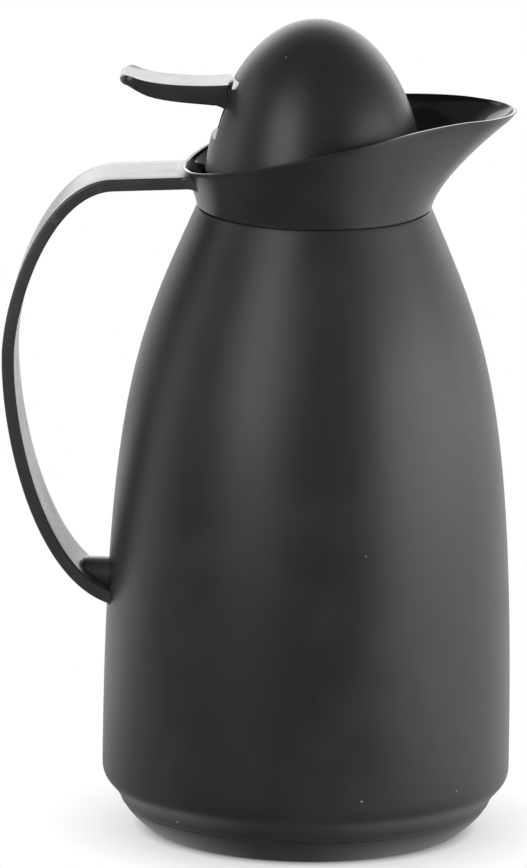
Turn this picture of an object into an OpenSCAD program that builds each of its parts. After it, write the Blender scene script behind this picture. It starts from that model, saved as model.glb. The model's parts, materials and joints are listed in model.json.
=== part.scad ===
// Thermal carafe with a pouring collar, a strap handle and a screw-in pouring stopper.
// The stopper's dome covers a thumb lever that presses a valve rod down against a spring.
// Z is up. The origin lies on the body's axis in the plane of the foot.
// The handle points to -X and the spout to +X.

/* [Body shell] */
// Widest diameter of the body
body_d = 140; // [124:1:156]
// Height of the shell between the base seam and the collar seam
shell_h = 208.2; // [190:0.1:230]
// Outer diameter of the shell's mouth
mouth_d = 80.2; // [74:0.1:88]
// Wall of the shell
shell_wall = 2; // [1.2:0.1:3]
// Height of the widest, upright part of the shell's side
side_h = 2.8; // [1:0.1:12]
// How far the side's upright direction carries into the shoulder curve
shoulder_pull = 130; // [100:1:145]
// How far the mouth's slope carries down into the shoulder curve
mouth_pull = 47; // [20:1:70]
// Slope of the shoulder at the mouth, from upright
mouth_slope = 23; // [12:1:40]
// Height of the rounded heel over the base seam
heel_h = 12.9; // [6:0.1:20]
// How far the heel draws in at the base seam
heel_in = 6.8; // [2:0.1:10]
// Slope of the heel at the base seam, from upright
heel_slope = 19; // [10:1:50]
// Where the heel leaves its lower slope, as a share of its height
heel_low_pull = 0.55; // [0.3:0.01:0.6]
// Where the heel reaches upright, as a share of its height
heel_top_pull = 0.49; // [0.3:0.01:0.7]

/* [Base cap] */
// Height of the base cap below its seam with the shell
base_h = 9.3; // [6:0.1:16]
// Diameter of the foot ring
foot_d = 106; // [80:1:112]
// Radial width of the foot ring
foot_w = 7; // [3:0.5:14]
// Depth of the recess inside the foot ring
foot_recess = 1.6; // [0.5:0.1:3]
// How far the foot's level direction carries outwards, as a share of the way to the seam
foot_pull = 0.1; // [0:0.01:0.6]
// Height at which the cap's side turns upright, as a share of the cap's height
cap_pull = 0.62; // [0.3:0.01:0.8]
// Wall of the base cap
base_wall = 2; // [1.4:0.1:3]
// Height of the spigot that holds the cap in the shell
spigot_h = 5; // [3:0.5:8]
// Step of the base cap's edge behind the shell's edge
seam_step = 0.5; // [0.2:0.1:1.2]

/* [Glass liner] */
// Room between the outer flask and the widest part of the shell's wall
flask_room = 13.7; // [12:0.1:18]
// Thickness of the glass
glass_wall = 1.6; // [1:0.1:2.4]
// Vacuum gap between the flasks
vacuum_gap = 2.6; // [1.5:0.1:4]
// Depth of the flask's rounded bottom
flask_bottom = 27; // [15:1:35]
// Height of the flask's shoulder and neck together
flask_shoulder = 66; // [50:1:80]
// Length of the flask's straight neck
flask_neck_h = 12; // [8:1:20]
// Inner radius of the flask's neck
flask_neck_r = 19; // [18.5:0.5:21]
// Height of the inner flask's floor over the base cap's floor
flask_lift = 17; // [14:0.5:24]
// Radius of the glass tip where the flask was pumped out and closed
tip_r = 2.6; // [2:0.1:4]
// Length of that glass tip
tip_len = 6; // [3:0.5:8]
// Height of the spacer pads in the vacuum gap
pad_h = 12; // [6:1:20]
// Thickness of the gasket on the flask's lip
neck_gasket_h = 2; // [1:0.1:4]
// Radius of the cushion under the flask
cushion_r = 32; // [24:1:44]

/* [Neck ring] */
// Inner radius of the threaded sleeve
sleeve_r = 29; // [28.5:0.1:31]
// Wall of the threaded sleeve
sleeve_wall = 2; // [1.5:0.1:3]
// Depth of the sleeve below the collar seam
sleeve_depth = 15; // [14:0.5:20]
// How far the sleeve stands up into the collar
sleeve_stand = 3.5; // [2:0.5:4]
// Thickness of the shelf that closes the sleeve round the neck
shelf_h = 2; // [1.5:0.1:3]
// Height of the plug that centres the ring in the shell's mouth
ring_plug_h = 4.5; // [3:0.5:6]
// Height of the groove between shell and collar
seam_gap = 0.6; // [0.3:0.1:1.5]
// Depth of the groove between shell and collar
seam_depth = 0.9; // [0.4:0.1:2]

/* [Pouring collar] */
// Outer radius of the collar at its seam
collar_r = 40.2; // [38:0.1:44]
// Height of the rim over the seam at the back
rim_back_h = 12.3; // [10:0.1:20]
// Height of the rim over the seam at the spout
rim_front_h = 34.9; // [28:0.1:38]
// How much the bowl's rim widens for each millimetre that it rises
collar_flare = 0.16; // [0:0.01:0.35]
// Distance from the axis to the tip of the spout
spout_reach = 68.7; // [60:0.1:76]
// Radius of the spout's tip, seen from above
spout_tip_r = 22.9; // [8:0.1:25]
// Radius of the rim where the sides of the spout leave it, seen from above
bowl_r = 48.2; // [44:0.1:52]
// Distance from the axis to where the rim stops rising
rim_level_x = 53.8; // [30:0.1:66]
// How hollow the rise of the rim is
rim_curve = 1.51; // [1:0.01:2]
// How late the collar flares on its way up
flare_curve = 1.42; // [1:0.01:2]
// Wall of the collar
collar_wall = 2; // [1.4:0.1:2.6]
// Height of the bowl's floor at the wall
bowl_floor_h = 5; // [4:0.1:8]

/* [Handle] */
// Width of the strap
strap_w = 30.5; // [24:0.5:38]
// Thickness of the strap
strap_t = 4.25; // [3:0.05:6]
// Bevel on the strap's edges
strap_edge = 0.6; // [0.2:0.1:1.2]
// Height of the strap's middle line over the collar seam, at the collar
strap_z = 9.8; // [9:0.1:12]
// Slope of the straight run that leaves the collar, in degrees below level
strap_slope = 3; // [0:0.1:6]
// Distance from the axis to the end of the straight run
strap_level_x = 68.1; // [60:0.1:76]
// Distance from the axis to the handle's outermost middle line
strap_out_x = 103.4; // [94:0.1:115]
// Height of the handle's outermost point below the collar seam
strap_out_drop = 52; // [40:0.1:70]
// Reach of the upper bend along the straight run
bend_top_pull = 22.8; // [5:0.1:30]
// Reach of the upper bend along the grip
bend_grip_pull = 19.3; // [10:0.1:50]
// Reach of the lower bend along the grip
bend_low_pull = 28.5; // [10:0.1:40]
// Reach of the lower bend along the strap's foot
bend_foot_pull = 25; // [15:0.1:40]
// Slope of the strap's foot below level
foot_slope = 19.7; // [15:0.1:45]
// Height where the strap's foot meets the body
strap_foot_z = 82; // [70:0.1:100]
// Height of the lug's rounded top over the strap's foot
lug_h = 10.8; // [9.5:0.1:16]
// How far the lug stands out from the body
lug_out = 9.8; // [7:0.1:12]
// Width of the lug, whose top is a half round across it
lug_w = 13; // [10:0.5:18]
// Flare of the strap where it runs into the collar
root_flare = 1.5; // [0:0.1:5]
// Length of that flare
root_len = 3.5; // [3:0.1:10]
// Radius of the screw that holds the lug
lug_screw_r = 1.75; // [1.2:0.05:2.5]
// Height of the lug screw over the strap's foot
lug_screw_z = 6; // [5:0.5:8]

/* [Stopper plug] */
// Radius of the threaded plug
plug_r = 27; // [26:0.1:27.3]
// Wall of the plug
plug_wall = 2.5; // [2:0.1:3.5]
// Thickness of the plug's floor
plug_floor = 2.4; // [2:0.1:3.5]
// Thickness of the gasket under the plug
plug_gasket_h = 1.8; // [1:0.1:2.5]
// Radius of the nose that reaches into the neck
nose_r = 17.5; // [14:0.5:18]
// Length of the nose below the plug's floor
nose_len = 12.5; // [9:0.5:18]
// Radius of the valve's seat opening
seat_r = 7; // [6:0.5:9]
// Thickness of the valve's seat
seat_h = 2.2; // [1.5:0.1:3]
// Height of the pouring windows under the deck
window_h = 7; // [5:0.5:9]
// Height of the plug's rim over the collar seam
plug_rim_h = 4.5; // [3.5:0.5:6]
// Number of pillars between the windows
pillars = 4; // [3:1:6]
// Width of each pillar
pillar_w = 8; // [7:0.5:10]
// Depth of each pillar
pillar_d = 6; // [5.5:0.1:7]

/* [Thread] */
// Rise of the thread in one turn
thread_lead = 12; // [10:0.5:14]
// Height that each ridge stands proud
thread_h = 1.5; // [1.2:0.05:1.6]
// Width of a ridge at its root
thread_w = 2.2; // [1.6:0.1:2.6]
// Width of a ridge at its crest
thread_crest = 1.2; // [0.8:0.1:1.6]
// Angle that each ridge goes round
thread_sweep = 150; // [110:1:160]
// Gap between the flanks of the two threads
thread_gap = 0.35; // [0.3:0.05:0.8]

/* [Dome and deck] */
// Radius of the dome's ellipse
dome_r = 38.1; // [36.5:0.1:38.5]
// Height of the dome's ellipse over its widest level
dome_h = 63.6; // [56:0.1:70]
// Height of the dome's widest level over the collar seam
dome_base = 1.2; // [0.5:0.1:6]
// Height of the dome's lower edge over its widest level
dome_cut = 11.1; // [10:0.1:13]
// Wall of the dome
dome_wall = 2; // [1.4:0.1:2.6]
// Thickness of the deck inside the dome
deck_h = 2.5; // [2:0.1:4]
// Width of the ledge with which the dome rests on the deck
ledge_w = 3; // [2:0.5:5]
// Lower end of the lever's slot over the collar seam
slot_low = 24.5; // [22:0.1:27]
// Room over the lever in its slot
slot_room = 1.2; // [0.6:0.1:3]
// Radius of the screws that hold the deck
deck_screw_r = 1.4; // [1.1:0.05:1.8]
// Length of the deck screws below the deck
deck_screw_len = 9; // [6:0.5:11]

/* [Lever] */
// Width of the lever
lever_w = 20.6; // [16:0.2:24]
// Distance from the axis to the lever's tip
lever_reach = 66.7; // [60:0.1:72]
// Height of the lever's flat top over the pin
lever_top = 6.3; // [5.5:0.1:8]
// Depth of the lever where it leaves the dome
lever_depth = 7.2; // [6:0.1:8]
// How far the tip curls up over the flat top
tip_rise = 2.4; // [1:0.1:5]
// Thickness of the lever's tip
tip_t = 3.4; // [2.5:0.1:5]
// Length of the curled part behind the tip
curl_len = 22; // [14:0.5:28]
// Depth of the lever's arm inside the dome
arm_depth = 9.5; // [8:0.5:10]
// Wall of the lever
lever_wall = 2; // [1.6:0.1:3]
// Distance of the lever's pin in front of the axis
pin_x = 18; // [15:0.5:19]
// Height of the lever's pin over the collar seam
pin_h = 37.1; // [36.3:0.1:41]
// Radius of the lever's pin
pin_r = 1.5; // [1.2:0.05:2]
// Radius of the eyes round the pin
eye_r = 4; // [3.5:0.1:4.5]
// Thickness of each cheek that holds the pin
cheek_t = 3; // [2:0.1:3.5]
// Angle that the lever turns when it is pressed
lever_angle = 11.5; // [8:0.5:13.5]

/* [Valve] */
// Radius of the valve rod
rod_r = 2.5; // [2:0.1:3]
// Radius of the rod's reduced lower end
rod_end_r = 1.8; // [1.4:0.1:1.9]
// Thickness of the cap on the rod
cap_h = 2.5; // [2:0.1:4]
// Distance of the rod's cap below the pin
cap_drop = 4; // [3.5:0.1:5]
// Radius of the valve disc
disc_r = 10.5; // [9.5:0.5:13]
// Thickness of the valve disc
disc_h = 2.6; // [2:0.1:4]
// Thickness of the valve's seal
seal_h = 1.2; // [0.8:0.1:2]
// Height of the nut under the disc
nut_h = 3; // [2:0.1:4]
// Radius of the tower that guides the rod
tower_r = 4.4; // [4:0.1:4.6]
// Height of the tower over the deck
tower_h = 11; // [7:0.5:12]
// Height of the bush that seals the rod
bush_h = 4; // [3:0.5:6]
// Mean radius of the return spring
spring_r = 6.3; // [6:0.1:7]
// Radius of the spring's wire
wire_r = 0.55; // [0.4:0.05:0.7]
// Number of the spring's turns
spring_turns = 6; // [4:1:7]

/* [Fits] */
// Radial gap between parts that slide or turn in each other
running_fit = 0.08; // [0.03:0.01:0.1]
// Gap between parts that sit in each other without moving
seat_fit = 0.1; // [0.05:0.01:0.2]
// Gap between the faces of parts that pass or press on each other
face_gap = 0.3; // [0.2:0.05:0.5]
// Gap on each side of the lever in its slot
slot_side = 0.5; // [0.3:0.1:1]

/* [Hidden] */

black_plastic = [0.17, 0.17, 0.18];
dark_plastic = [0.1, 0.1, 0.11];
rubber = [0.25, 0.25, 0.24];
mirror_glass = [0.78, 0.82, 0.84, 0.6];
steel = [0.72, 0.73, 0.75];

body_r = body_d / 2;
flask_r = body_r - shell_wall - flask_room - 2 * glass_wall - vacuum_gap;
mouth_r = mouth_d / 2;
seam_z = base_h + shell_h;
collar_z = seam_z + seam_gap;
heel_r = body_r - heel_in;
mouth_in = mouth_r - shell_wall / cos(mouth_slope);
heel_in_r = heel_r - shell_wall / cos(heel_slope);
cap_floor = foot_recess + base_wall;

shelf_top = seam_z - sleeve_depth + shelf_h;
shelf_low = seam_z - sleeve_depth;
lip_z = shelf_low - neck_gasket_h;
sleeve_top = seam_z + sleeve_stand;
sleeve_out = sleeve_r + sleeve_wall;

plug_low = shelf_top + plug_gasket_h + running_fit;
plug_top = seam_z + plug_rim_h;
nose_low = plug_low - nose_len;
deck_low = plug_top + window_h;
deck_top = deck_low + deck_h;
dome_z = seam_z + dome_base;
dome_edge = dome_z + dome_cut;
deck_r = (dome_r - dome_wall) * sqrt(1 - pow((deck_top - dome_z) / (dome_h - dome_wall), 2)) - seat_fit;

pin_z = seam_z + pin_h;
lever_top_z = pin_z + lever_top;
cap_top = pin_z - cap_drop;
cap_low = cap_top - cap_h;
valve_travel = pin_x * lever_angle * PI / 180;
// Height to which the lever's underside comes down in front of the dome when it is pressed
pressed_z = pin_z + (lever_top - lever_depth) / cos(lever_angle) - (pin_x + dome_r) * tan(lever_angle);
slot_low_z = min(seam_z + slot_low, pressed_z - face_gap);
seal_top = nose_low - running_fit;
disc_top = seal_top - seal_h;
disc_low = disc_top - disc_h;
pillar_r = plug_r - pillar_d / 2;

thread_pitch = thread_lead / 2;
ring_thread_z = seam_z - 6.5;
plug_thread_z = ring_thread_z - thread_w - thread_gap;

strap_mid_z = seam_z + strap_z;
strap_out_z = seam_z - strap_out_drop;
lug_top = strap_foot_z + lug_h;

curve_steps = 24;
heel_steps = 8;
bend_steps = 18;
root_steps = 4;
root_gap = 0.5;
collar_steps = 72;
wall_steps = 8;
thread_steps = 24;
round_fn = 96;

// A point on the curve that runs from p[0] to p[3] with the handles p[1] and p[2]
function curve_point(p, t) =
    pow(1 - t, 3) * p[0] + 3 * pow(1 - t, 2) * t * p[1] + 3 * (1 - t) * t * t * p[2] + pow(t, 3) * p[3];
function curve(p, steps) = [for (i = [0:steps]) curve_point(p, i / steps)];
function backwards(path) = [for (i = [len(path) - 1:-1:0]) path[i]];
function without_first(path) = [for (i = [1:len(path) - 1]) path[i]];
function run(path, i) = path[min(i + 1, len(path) - 1)] - path[max(i - 1, 0)];
function left(v) = [-v[1], v[0]] / norm(v);

// The path moved sideways by d, to the left of its run
function shifted(path, d) = [for (i = [0:len(path) - 1]) path[i] + d * left(run(path, i))];

// Triangles of a skin over closed rings of the same number of points, with flat ends
function skin_faces(rings, n) = concat(
    [for (i = [0:rings - 2], j = [0:n - 1]) [i * n + j, (i + 1) * n + j, i * n + (j + 1) % n]],
    [for (i = [0:rings - 2], j = [0:n - 1]) [(i + 1) * n + j, (i + 1) * n + (j + 1) % n, i * n + (j + 1) % n]]
);
function end_faces(rings, n) = concat(
    [for (j = [1:n - 2]) [0, j, j + 1]],
    [for (j = [1:n - 2]) [(rings - 1) * n, (rings - 1) * n + j + 1, (rings - 1) * n + j]]
);

// Joins the last ring to the first, for a form that goes all the way round
function closed_faces(rings, n) = concat(
    [for (i = [0:rings - 1], j = [0:n - 1])
        [i * n + j, ((i + 1) % rings) * n + j, i * n + (j + 1) % n]],
    [for (i = [0:rings - 1], j = [0:n - 1])
        [((i + 1) % rings) * n + j, ((i + 1) % rings) * n + (j + 1) % n, i * n + (j + 1) % n]]
);
function flipped(faces) = [for (f = faces) backwards(f)];
function joined(rings) = [for (ring = rings) each ring];

// Body outline, from the base seam up to the mouth
heel_curve = curve([
    [heel_r, base_h],
    [heel_r + heel_h * heel_low_pull * tan(heel_slope), base_h + heel_h * heel_low_pull],
    [body_r, base_h + heel_h * heel_top_pull],
    [body_r, base_h + heel_h]
], heel_steps);
side_low = base_h + heel_h + side_h;
shoulder_curve = curve([
    [body_r, side_low],
    [body_r, side_low + shoulder_pull],
    [mouth_r + mouth_pull * sin(mouth_slope), seam_z - mouth_pull * cos(mouth_slope)],
    [mouth_r, seam_z]
], curve_steps);
body_line = concat(heel_curve, shoulder_curve);
// Outer radius of the shell at height z over its heel
function shell_r(z) = lookup(z, [for (p = body_line) [p[1], p[0]]]);
body_inside = [for (p = shifted(body_line, shell_wall)) if (p[1] > base_h + 1 && p[1] < seam_z - 1) p];

module ring_solid(r_in, r_out, z_low, z_high) {
    translate([0, 0, z_low])
        difference() {
            cylinder(h = z_high - z_low, r = r_out, $fn = round_fn);
            translate([0, 0, -1])
                cylinder(h = z_high - z_low + 2, r = r_in, $fn = round_fn);
        }
}

// A round bar along X
module x_bar(r, x_low, x_high, z) {
    translate([x_low, 0, z])
        rotate([0, 90, 0])
            cylinder(h = x_high - x_low, r = r, $fn = 48);
}

// A round bar along Y, centred on the XZ plane
module y_bar(r, length, x, z) {
    translate([x, length / 2, z])
        rotate([90, 0, 0])
            cylinder(h = length, r = r, $fn = 48);
}

screw_z = strap_foot_z + lug_screw_z;
screw_seat_x = body_r - shell_wall - 8;
screw_head_h = 2.4;
screw_head_r = lug_screw_r + 1.8;
boss_r = screw_head_r + 1.2;

module outer_shell() {
    color(black_plastic)
        difference() {
            union() {
                rotate_extrude($fn = round_fn)
                    polygon(concat(
                        body_line,
                        [[mouth_in, seam_z]],
                        backwards(body_inside),
                        [[heel_in_r, base_h]]
                    ));
                x_bar(boss_r, -shell_r(screw_z) + shell_wall / 2, -screw_seat_x, screw_z);
            }
            x_bar(lug_screw_r + running_fit, -body_r - 5, 0, screw_z);
        }
}

cap_edge_r = heel_r - seam_step;
foot_r = foot_d / 2;
cap_curve = curve([
    [foot_r, 0],
    [foot_r + (cap_edge_r - foot_r) * foot_pull, 0],
    [cap_edge_r - (base_h - seam_step) * 0.15, (base_h - seam_step) * cap_pull],
    [cap_edge_r, base_h - seam_step]
], heel_steps);
spigot_r = heel_in_r - seat_fit;

module base_cap() {
    color(black_plastic)
        rotate_extrude($fn = round_fn)
            polygon(concat(
                [[0, foot_recess], [foot_r - foot_w, foot_recess], [foot_r - foot_w + 1, 0]],
                cap_curve,
                [
                    [cap_edge_r - seam_step, base_h],
                    [spigot_r, base_h],
                    [spigot_r, base_h + spigot_h],
                    [spigot_r - base_wall, base_h + spigot_h],
                    [spigot_r - base_wall, base_h],
                    [foot_r - base_wall, cap_floor],
                    [0, cap_floor]
                ]
            ));
}

// Inner face of the inner flask, from the middle of its floor up to the lip
flask_floor_z = cap_floor + flask_lift;
flask_low_z = flask_floor_z + flask_bottom;
flask_high_z = lip_z - flask_shoulder;
neck_low_z = lip_z - flask_neck_h;
flask_line = concat(
    [for (i = [0:heel_steps]) [
        flask_r * sin(90 * i / heel_steps),
        flask_low_z - flask_bottom * cos(90 * i / heel_steps)
    ]],
    curve([
        [flask_r, flask_high_z],
        [flask_r, flask_high_z + flask_shoulder * 0.42],
        [flask_neck_r, neck_low_z - flask_shoulder * 0.38],
        [flask_neck_r, neck_low_z]
    ], bend_steps),
    [[flask_neck_r, lip_z]]
);
function flask_face(d) = [for (p = shifted(flask_line, -d)) [p[0] < 1.5 * d ? 0 : p[0], p[1]]];
function flask_wall(d_in, d_out, top) = concat(
    [for (p = flask_face(d_out)) [p[0], min(p[1], top)]],
    backwards([for (p = flask_face(d_in)) [p[0], min(p[1], top)]])
);
outer_gap = glass_wall + vacuum_gap;
liner_depth = outer_gap + glass_wall;
liner_neck_r = flask_neck_r + liner_depth;
liner_r = flask_r + liner_depth;

module inner_flask() {
    color(mirror_glass) {
        rotate_extrude($fn = round_fn)
            polygon(flask_wall(0, glass_wall, lip_z));
        ring_solid(flask_neck_r + glass_wall, liner_neck_r, lip_z - glass_wall, lip_z);
    }
}

module outer_flask() {
    color(mirror_glass) {
        rotate_extrude($fn = round_fn)
            polygon(flask_wall(outer_gap, liner_depth, lip_z - glass_wall));
        translate([0, 0, flask_floor_z - liner_depth - tip_len])
            cylinder(h = tip_len + glass_wall / 2, r1 = tip_r * 0.6, r2 = tip_r, $fn = 32);
    }
}

pad_angle = 12;
pad_count = 3;

module flask_spacers() {
    color(rubber)
        for (i = [0:pad_count - 1])
            rotate([0, 0, i * 360 / pad_count])
                translate([0, 0, flask_low_z + pad_h])
                    rotate_extrude(angle = pad_angle, $fn = round_fn)
                        translate([flask_r + glass_wall, 0])
                            square([vacuum_gap, pad_h]);
}

// The cushion's top follows the outer flask's rounded bottom
module liner_cushion() {
    hole_r = tip_r + 5;
    seat = [
        for (p = flask_face(liner_depth + running_fit))
            if (p[0] > hole_r && p[0] < cushion_r && p[1] < flask_low_z) p];
    color(rubber)
        rotate_extrude($fn = round_fn)
            polygon(concat(
                [[hole_r, cap_floor], [cushion_r, cap_floor], [cushion_r, seat[len(seat) - 1][1]]],
                backwards(seat),
                [[hole_r, seat[0][1]]]
            ));
}

module neck_gasket() {
    color(rubber)
        ring_solid(flask_neck_r, liner_neck_r, lip_z, shelf_low);
}

// A helical ridge with tapered ends. out = 1 stands outwards from r_root, out = -1 inwards.
module thread_ridge(r_root, z_mid, out) {
    root_r = r_root - out * thread_h / 4;
    crest_r = r_root + out * thread_h;
    rings = [for (i = [0:thread_steps])
        let (
            a = thread_sweep * i / thread_steps,
            z = z_mid + thread_lead * a / 360,
            fade = min(1, min(i, thread_steps - i) / 3),
            top_r = r_root + (crest_r - r_root) * (0.15 + 0.85 * fade)
        )
        [
            [root_r * cos(a), root_r * sin(a), z - thread_w / 2],
            [top_r * cos(a), top_r * sin(a), z - thread_crest / 2],
            [top_r * cos(a), top_r * sin(a), z + thread_crest / 2],
            [root_r * cos(a), root_r * sin(a), z + thread_w / 2]
        ]
    ];
    faces = concat(skin_faces(thread_steps + 1, 4), end_faces(thread_steps + 1, 4));
    polyhedron(joined(rings), out > 0 ? flipped(faces) : faces);
}

module neck_ring() {
    color(dark_plastic) {
        rotate_extrude($fn = round_fn)
            polygon([
                [flask_neck_r, shelf_low],
                [sleeve_out, shelf_low],
                [sleeve_out, seam_z - ring_plug_h],
                [mouth_in - seat_fit, seam_z - ring_plug_h],
                [mouth_in - seat_fit, seam_z],
                [mouth_r - seam_depth, seam_z],
                [mouth_r - seam_depth, collar_z],
                [sleeve_out, collar_z],
                [sleeve_out, sleeve_top],
                [sleeve_r, sleeve_top],
                [sleeve_r, shelf_top],
                [flask_neck_r, shelf_top]
            ]);
        for (a = [0, 180])
            rotate([0, 0, a])
                thread_ridge(sleeve_r, ring_thread_z, -1);
    }
}

// Height of the rim over the collar's foot at distance x along the spout's direction
function rim_h(x) =
    rim_front_h - (rim_front_h - rim_back_h)
    * pow(max(0, rim_level_x - x) / (rim_level_x + bowl_r), rim_curve);

// Outline of the rim seen from above: the round bowl, the spout's straight sides and its round tip
tip_x = spout_reach - spout_tip_r;
side_dir = acos((bowl_r - spout_tip_r) / tip_x);
tip_end = atan2(spout_tip_r * sin(side_dir), tip_x + spout_tip_r * cos(side_dir));
function spout_r(a) =
    abs(a) < tip_end
        ? tip_x * cos(a) + sqrt(spout_tip_r * spout_tip_r - pow(tip_x * sin(a), 2))
        : abs(a) < side_dir ? bowl_r / cos(abs(a) - side_dir) : 0;
function bowl_edge(a) = bowl_r + collar_flare * (rim_h(bowl_r * cos(a)) - rim_h(bowl_r * cos(side_dir)));
function rim_r(a) = max(spout_r(a), bowl_edge(a));
function rim_top(a) = collar_z + rim_h(rim_r(a) * cos(a)) - seam_gap;

// Outer radius of the collar in the direction a at height z
function collar_out(a, z) =
    collar_r + (rim_r(a) - collar_r)
    * pow(max(0, z - collar_z) / (rim_top(a) - collar_wall / 2 - collar_z), flare_curve);

function around(a, r, z) = [r * cos(a), r * sin(a), z];
function collar_section(a) =
    let (
        high = rim_top(a) - collar_wall / 2,
        low = collar_z + bowl_floor_h,
        lip_r = rim_r(a) - collar_wall / 2,
        hole = sleeve_out + seat_fit
    )
    concat(
        [for (i = [0:wall_steps])
            let (z = collar_z + (high - collar_z) * i / wall_steps)
            around(a, collar_out(a, z), z)],
        [for (turn = [45, 90, 135])
            around(a, lip_r + collar_wall / 2 * cos(turn), high + collar_wall / 2 * sin(turn))],
        [for (i = [wall_steps:-1:0])
            let (z = low + (high - low) * i / wall_steps)
            around(a, collar_out(a, z) - collar_wall, z)],
        [around(a, hole, sleeve_top), around(a, hole, collar_z)]
    );

module pouring_collar() {
    sections = [for (i = [0:collar_steps - 1]) collar_section(i * 360 / collar_steps - 180)];
    color(black_plastic)
        polyhedron(joined(sections), flipped(closed_faces(collar_steps, len(sections[0]))));
}

// Middle line of the strap, as [x, z] with x away from the body
foot_x = shell_r(strap_foot_z) - shell_wall / 2;
strap_root_x = rim_r(180) + root_gap;
function run_z(x) = strap_mid_z - (x - strap_root_x) * tan(strap_slope);
strap_line = concat(
    [for (i = [0:root_steps])
        let (x = strap_root_x + root_len * i / root_steps)
        [x, run_z(x)]],
    [let (x = (strap_root_x + root_len + strap_level_x) / 2)
        [x, run_z(x)]],
    curve([
        [strap_level_x, run_z(strap_level_x)],
        [strap_level_x + bend_top_pull, run_z(strap_level_x + bend_top_pull)],
        [strap_out_x, strap_out_z + bend_grip_pull],
        [strap_out_x, strap_out_z]
    ], bend_steps),
    without_first(curve([
        [strap_out_x, strap_out_z],
        [strap_out_x, strap_out_z - bend_low_pull],
        [
            foot_x + bend_foot_pull * cos(foot_slope),
            strap_foot_z + bend_foot_pull * sin(foot_slope)
        ],
        [foot_x, strap_foot_z]
    ], bend_steps))
);

// Cross-section of the strap as [across, outwards], with bevelled edges.
// The outer face comes first, from -Y to +Y, then the inner face back again.
across = 12;
function strap_row(h, side) = concat(
    [[-h, side - strap_edge]],
    [for (i = [0:across]) [(h - strap_edge) * (2 * i / across - 1), side]],
    [[h, side - strap_edge]]
);
function strap_outline(w, t, deeper) = concat(
    strap_row(w / 2, t / 2),
    [for (q = backwards(strap_row(w / 2, t / 2 + deeper))) [q[0], -q[1]]]
);

// The strap's ends are closed in strips across, so that the hollow end fits round the collar
function strip_faces(first, n, turn) = [for (j = [0:n / 2 - 2])
    let (f = [[first + j, first + j + 1, first + n - 1 - j],
        [first + j + 1, first + n - 2 - j, first + n - 1 - j]])
    each turn ? flipped(f) : f
];

// Distance from the axis to the collar's back, at y across and height z
function collar_back(y, z) =
    let (r = collar_out(180 - asin(y / collar_r), z))
    sqrt(r * r - y * y);

function strap_ring(i) =
    let (
        p = strap_line[i],
        out = left(run(strap_line, i)),
        flare = i > root_steps ? 0 : pow(max(0, 1 - (p[0] - strap_root_x) / root_len), 2) * root_flare
    )
    [for (q = strap_outline(strap_w + 2 * flare, strap_t, flare))
        i == 0
            ? [-collar_back(q[0], p[1] + q[1]) - seat_fit, q[0], p[1] + q[1]]
            : [-p[0] - out[0] * q[1], q[0], p[1] + out[1] * q[1]]
    ];

module handle_strap() {
    rings = [for (i = [0:len(strap_line) - 1]) strap_ring(i)];
    n = len(rings[0]);
    polyhedron(joined(rings), concat(
        skin_faces(len(rings), n),
        strip_faces(0, n, false),
        strip_faces((len(rings) - 1) * n, n, true)
    ));
}

// The part of the body that the lug has to clear
module lug_clearance() {
    band = [for (p = body_line) if (p[1] > strap_foot_z - 30 && p[1] < lug_top + 30) p];
    rotate_extrude($fn = round_fn)
        polygon(concat(
            [for (p = band) [p[0] + seat_fit, p[1]]],
            [[0, band[len(band) - 1][1]], [0, band[0][1]]]
        ));
}

// The lug between the strap's foot and the body, a half round on top, with a bevelled outer end
module handle_lug() {
    bevel = 1.5;
    end_x = foot_x + lug_out;
    intersection() {
        translate([0, lug_w / 2, 0])
            rotate([90, 0, 0])
                linear_extrude(height = lug_w)
                    polygon([
                        [-foot_x, strap_foot_z],
                        [-foot_x, lug_top],
                        [-end_x + bevel, lug_top],
                        [-end_x, lug_top - bevel],
                        [-end_x, strap_foot_z + lug_out * tan(foot_slope)]
                    ]);
        union() {
            x_bar(lug_w / 2, -end_x - 1, -foot_x + 1, lug_top - lug_w / 2);
            translate([-end_x - 1, -lug_w / 2, strap_foot_z - 1])
                cube([lug_out + 2, lug_w, lug_h + 1 - lug_w / 2]);
        }
    }
}

module handle() {
    color(black_plastic)
        difference() {
            union() {
                handle_strap();
                handle_lug();
            }
            lug_clearance();
            x_bar(lug_screw_r + running_fit, -foot_x - lug_out - 1, 0, screw_z);
        }
}

module handle_screw() {
    color(steel)
        difference() {
            union() {
                x_bar(lug_screw_r, -foot_x - lug_out + 2, -screw_seat_x, screw_z);
                x_bar(screw_head_r, -screw_seat_x, -screw_seat_x + screw_head_h, screw_z);
            }
            translate([-screw_seat_x + screw_head_h / 2, 0, screw_z])
                rotate([0, 90, 0])
                    cylinder(h = screw_head_h, r = screw_head_r / 2, $fn = 6);
        }
}

module stopper_gasket() {
    color(rubber)
        ring_solid(nose_r + 2, plug_r - 1, shelf_top + running_fit / 2, plug_low - running_fit / 2);
}

module on_pillars() {
    for (i = [0:pillars - 1])
        rotate([0, 0, 360 / pillars * (i + 0.5)])
            translate([pillar_r, 0, 0])
                children();
}

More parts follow.
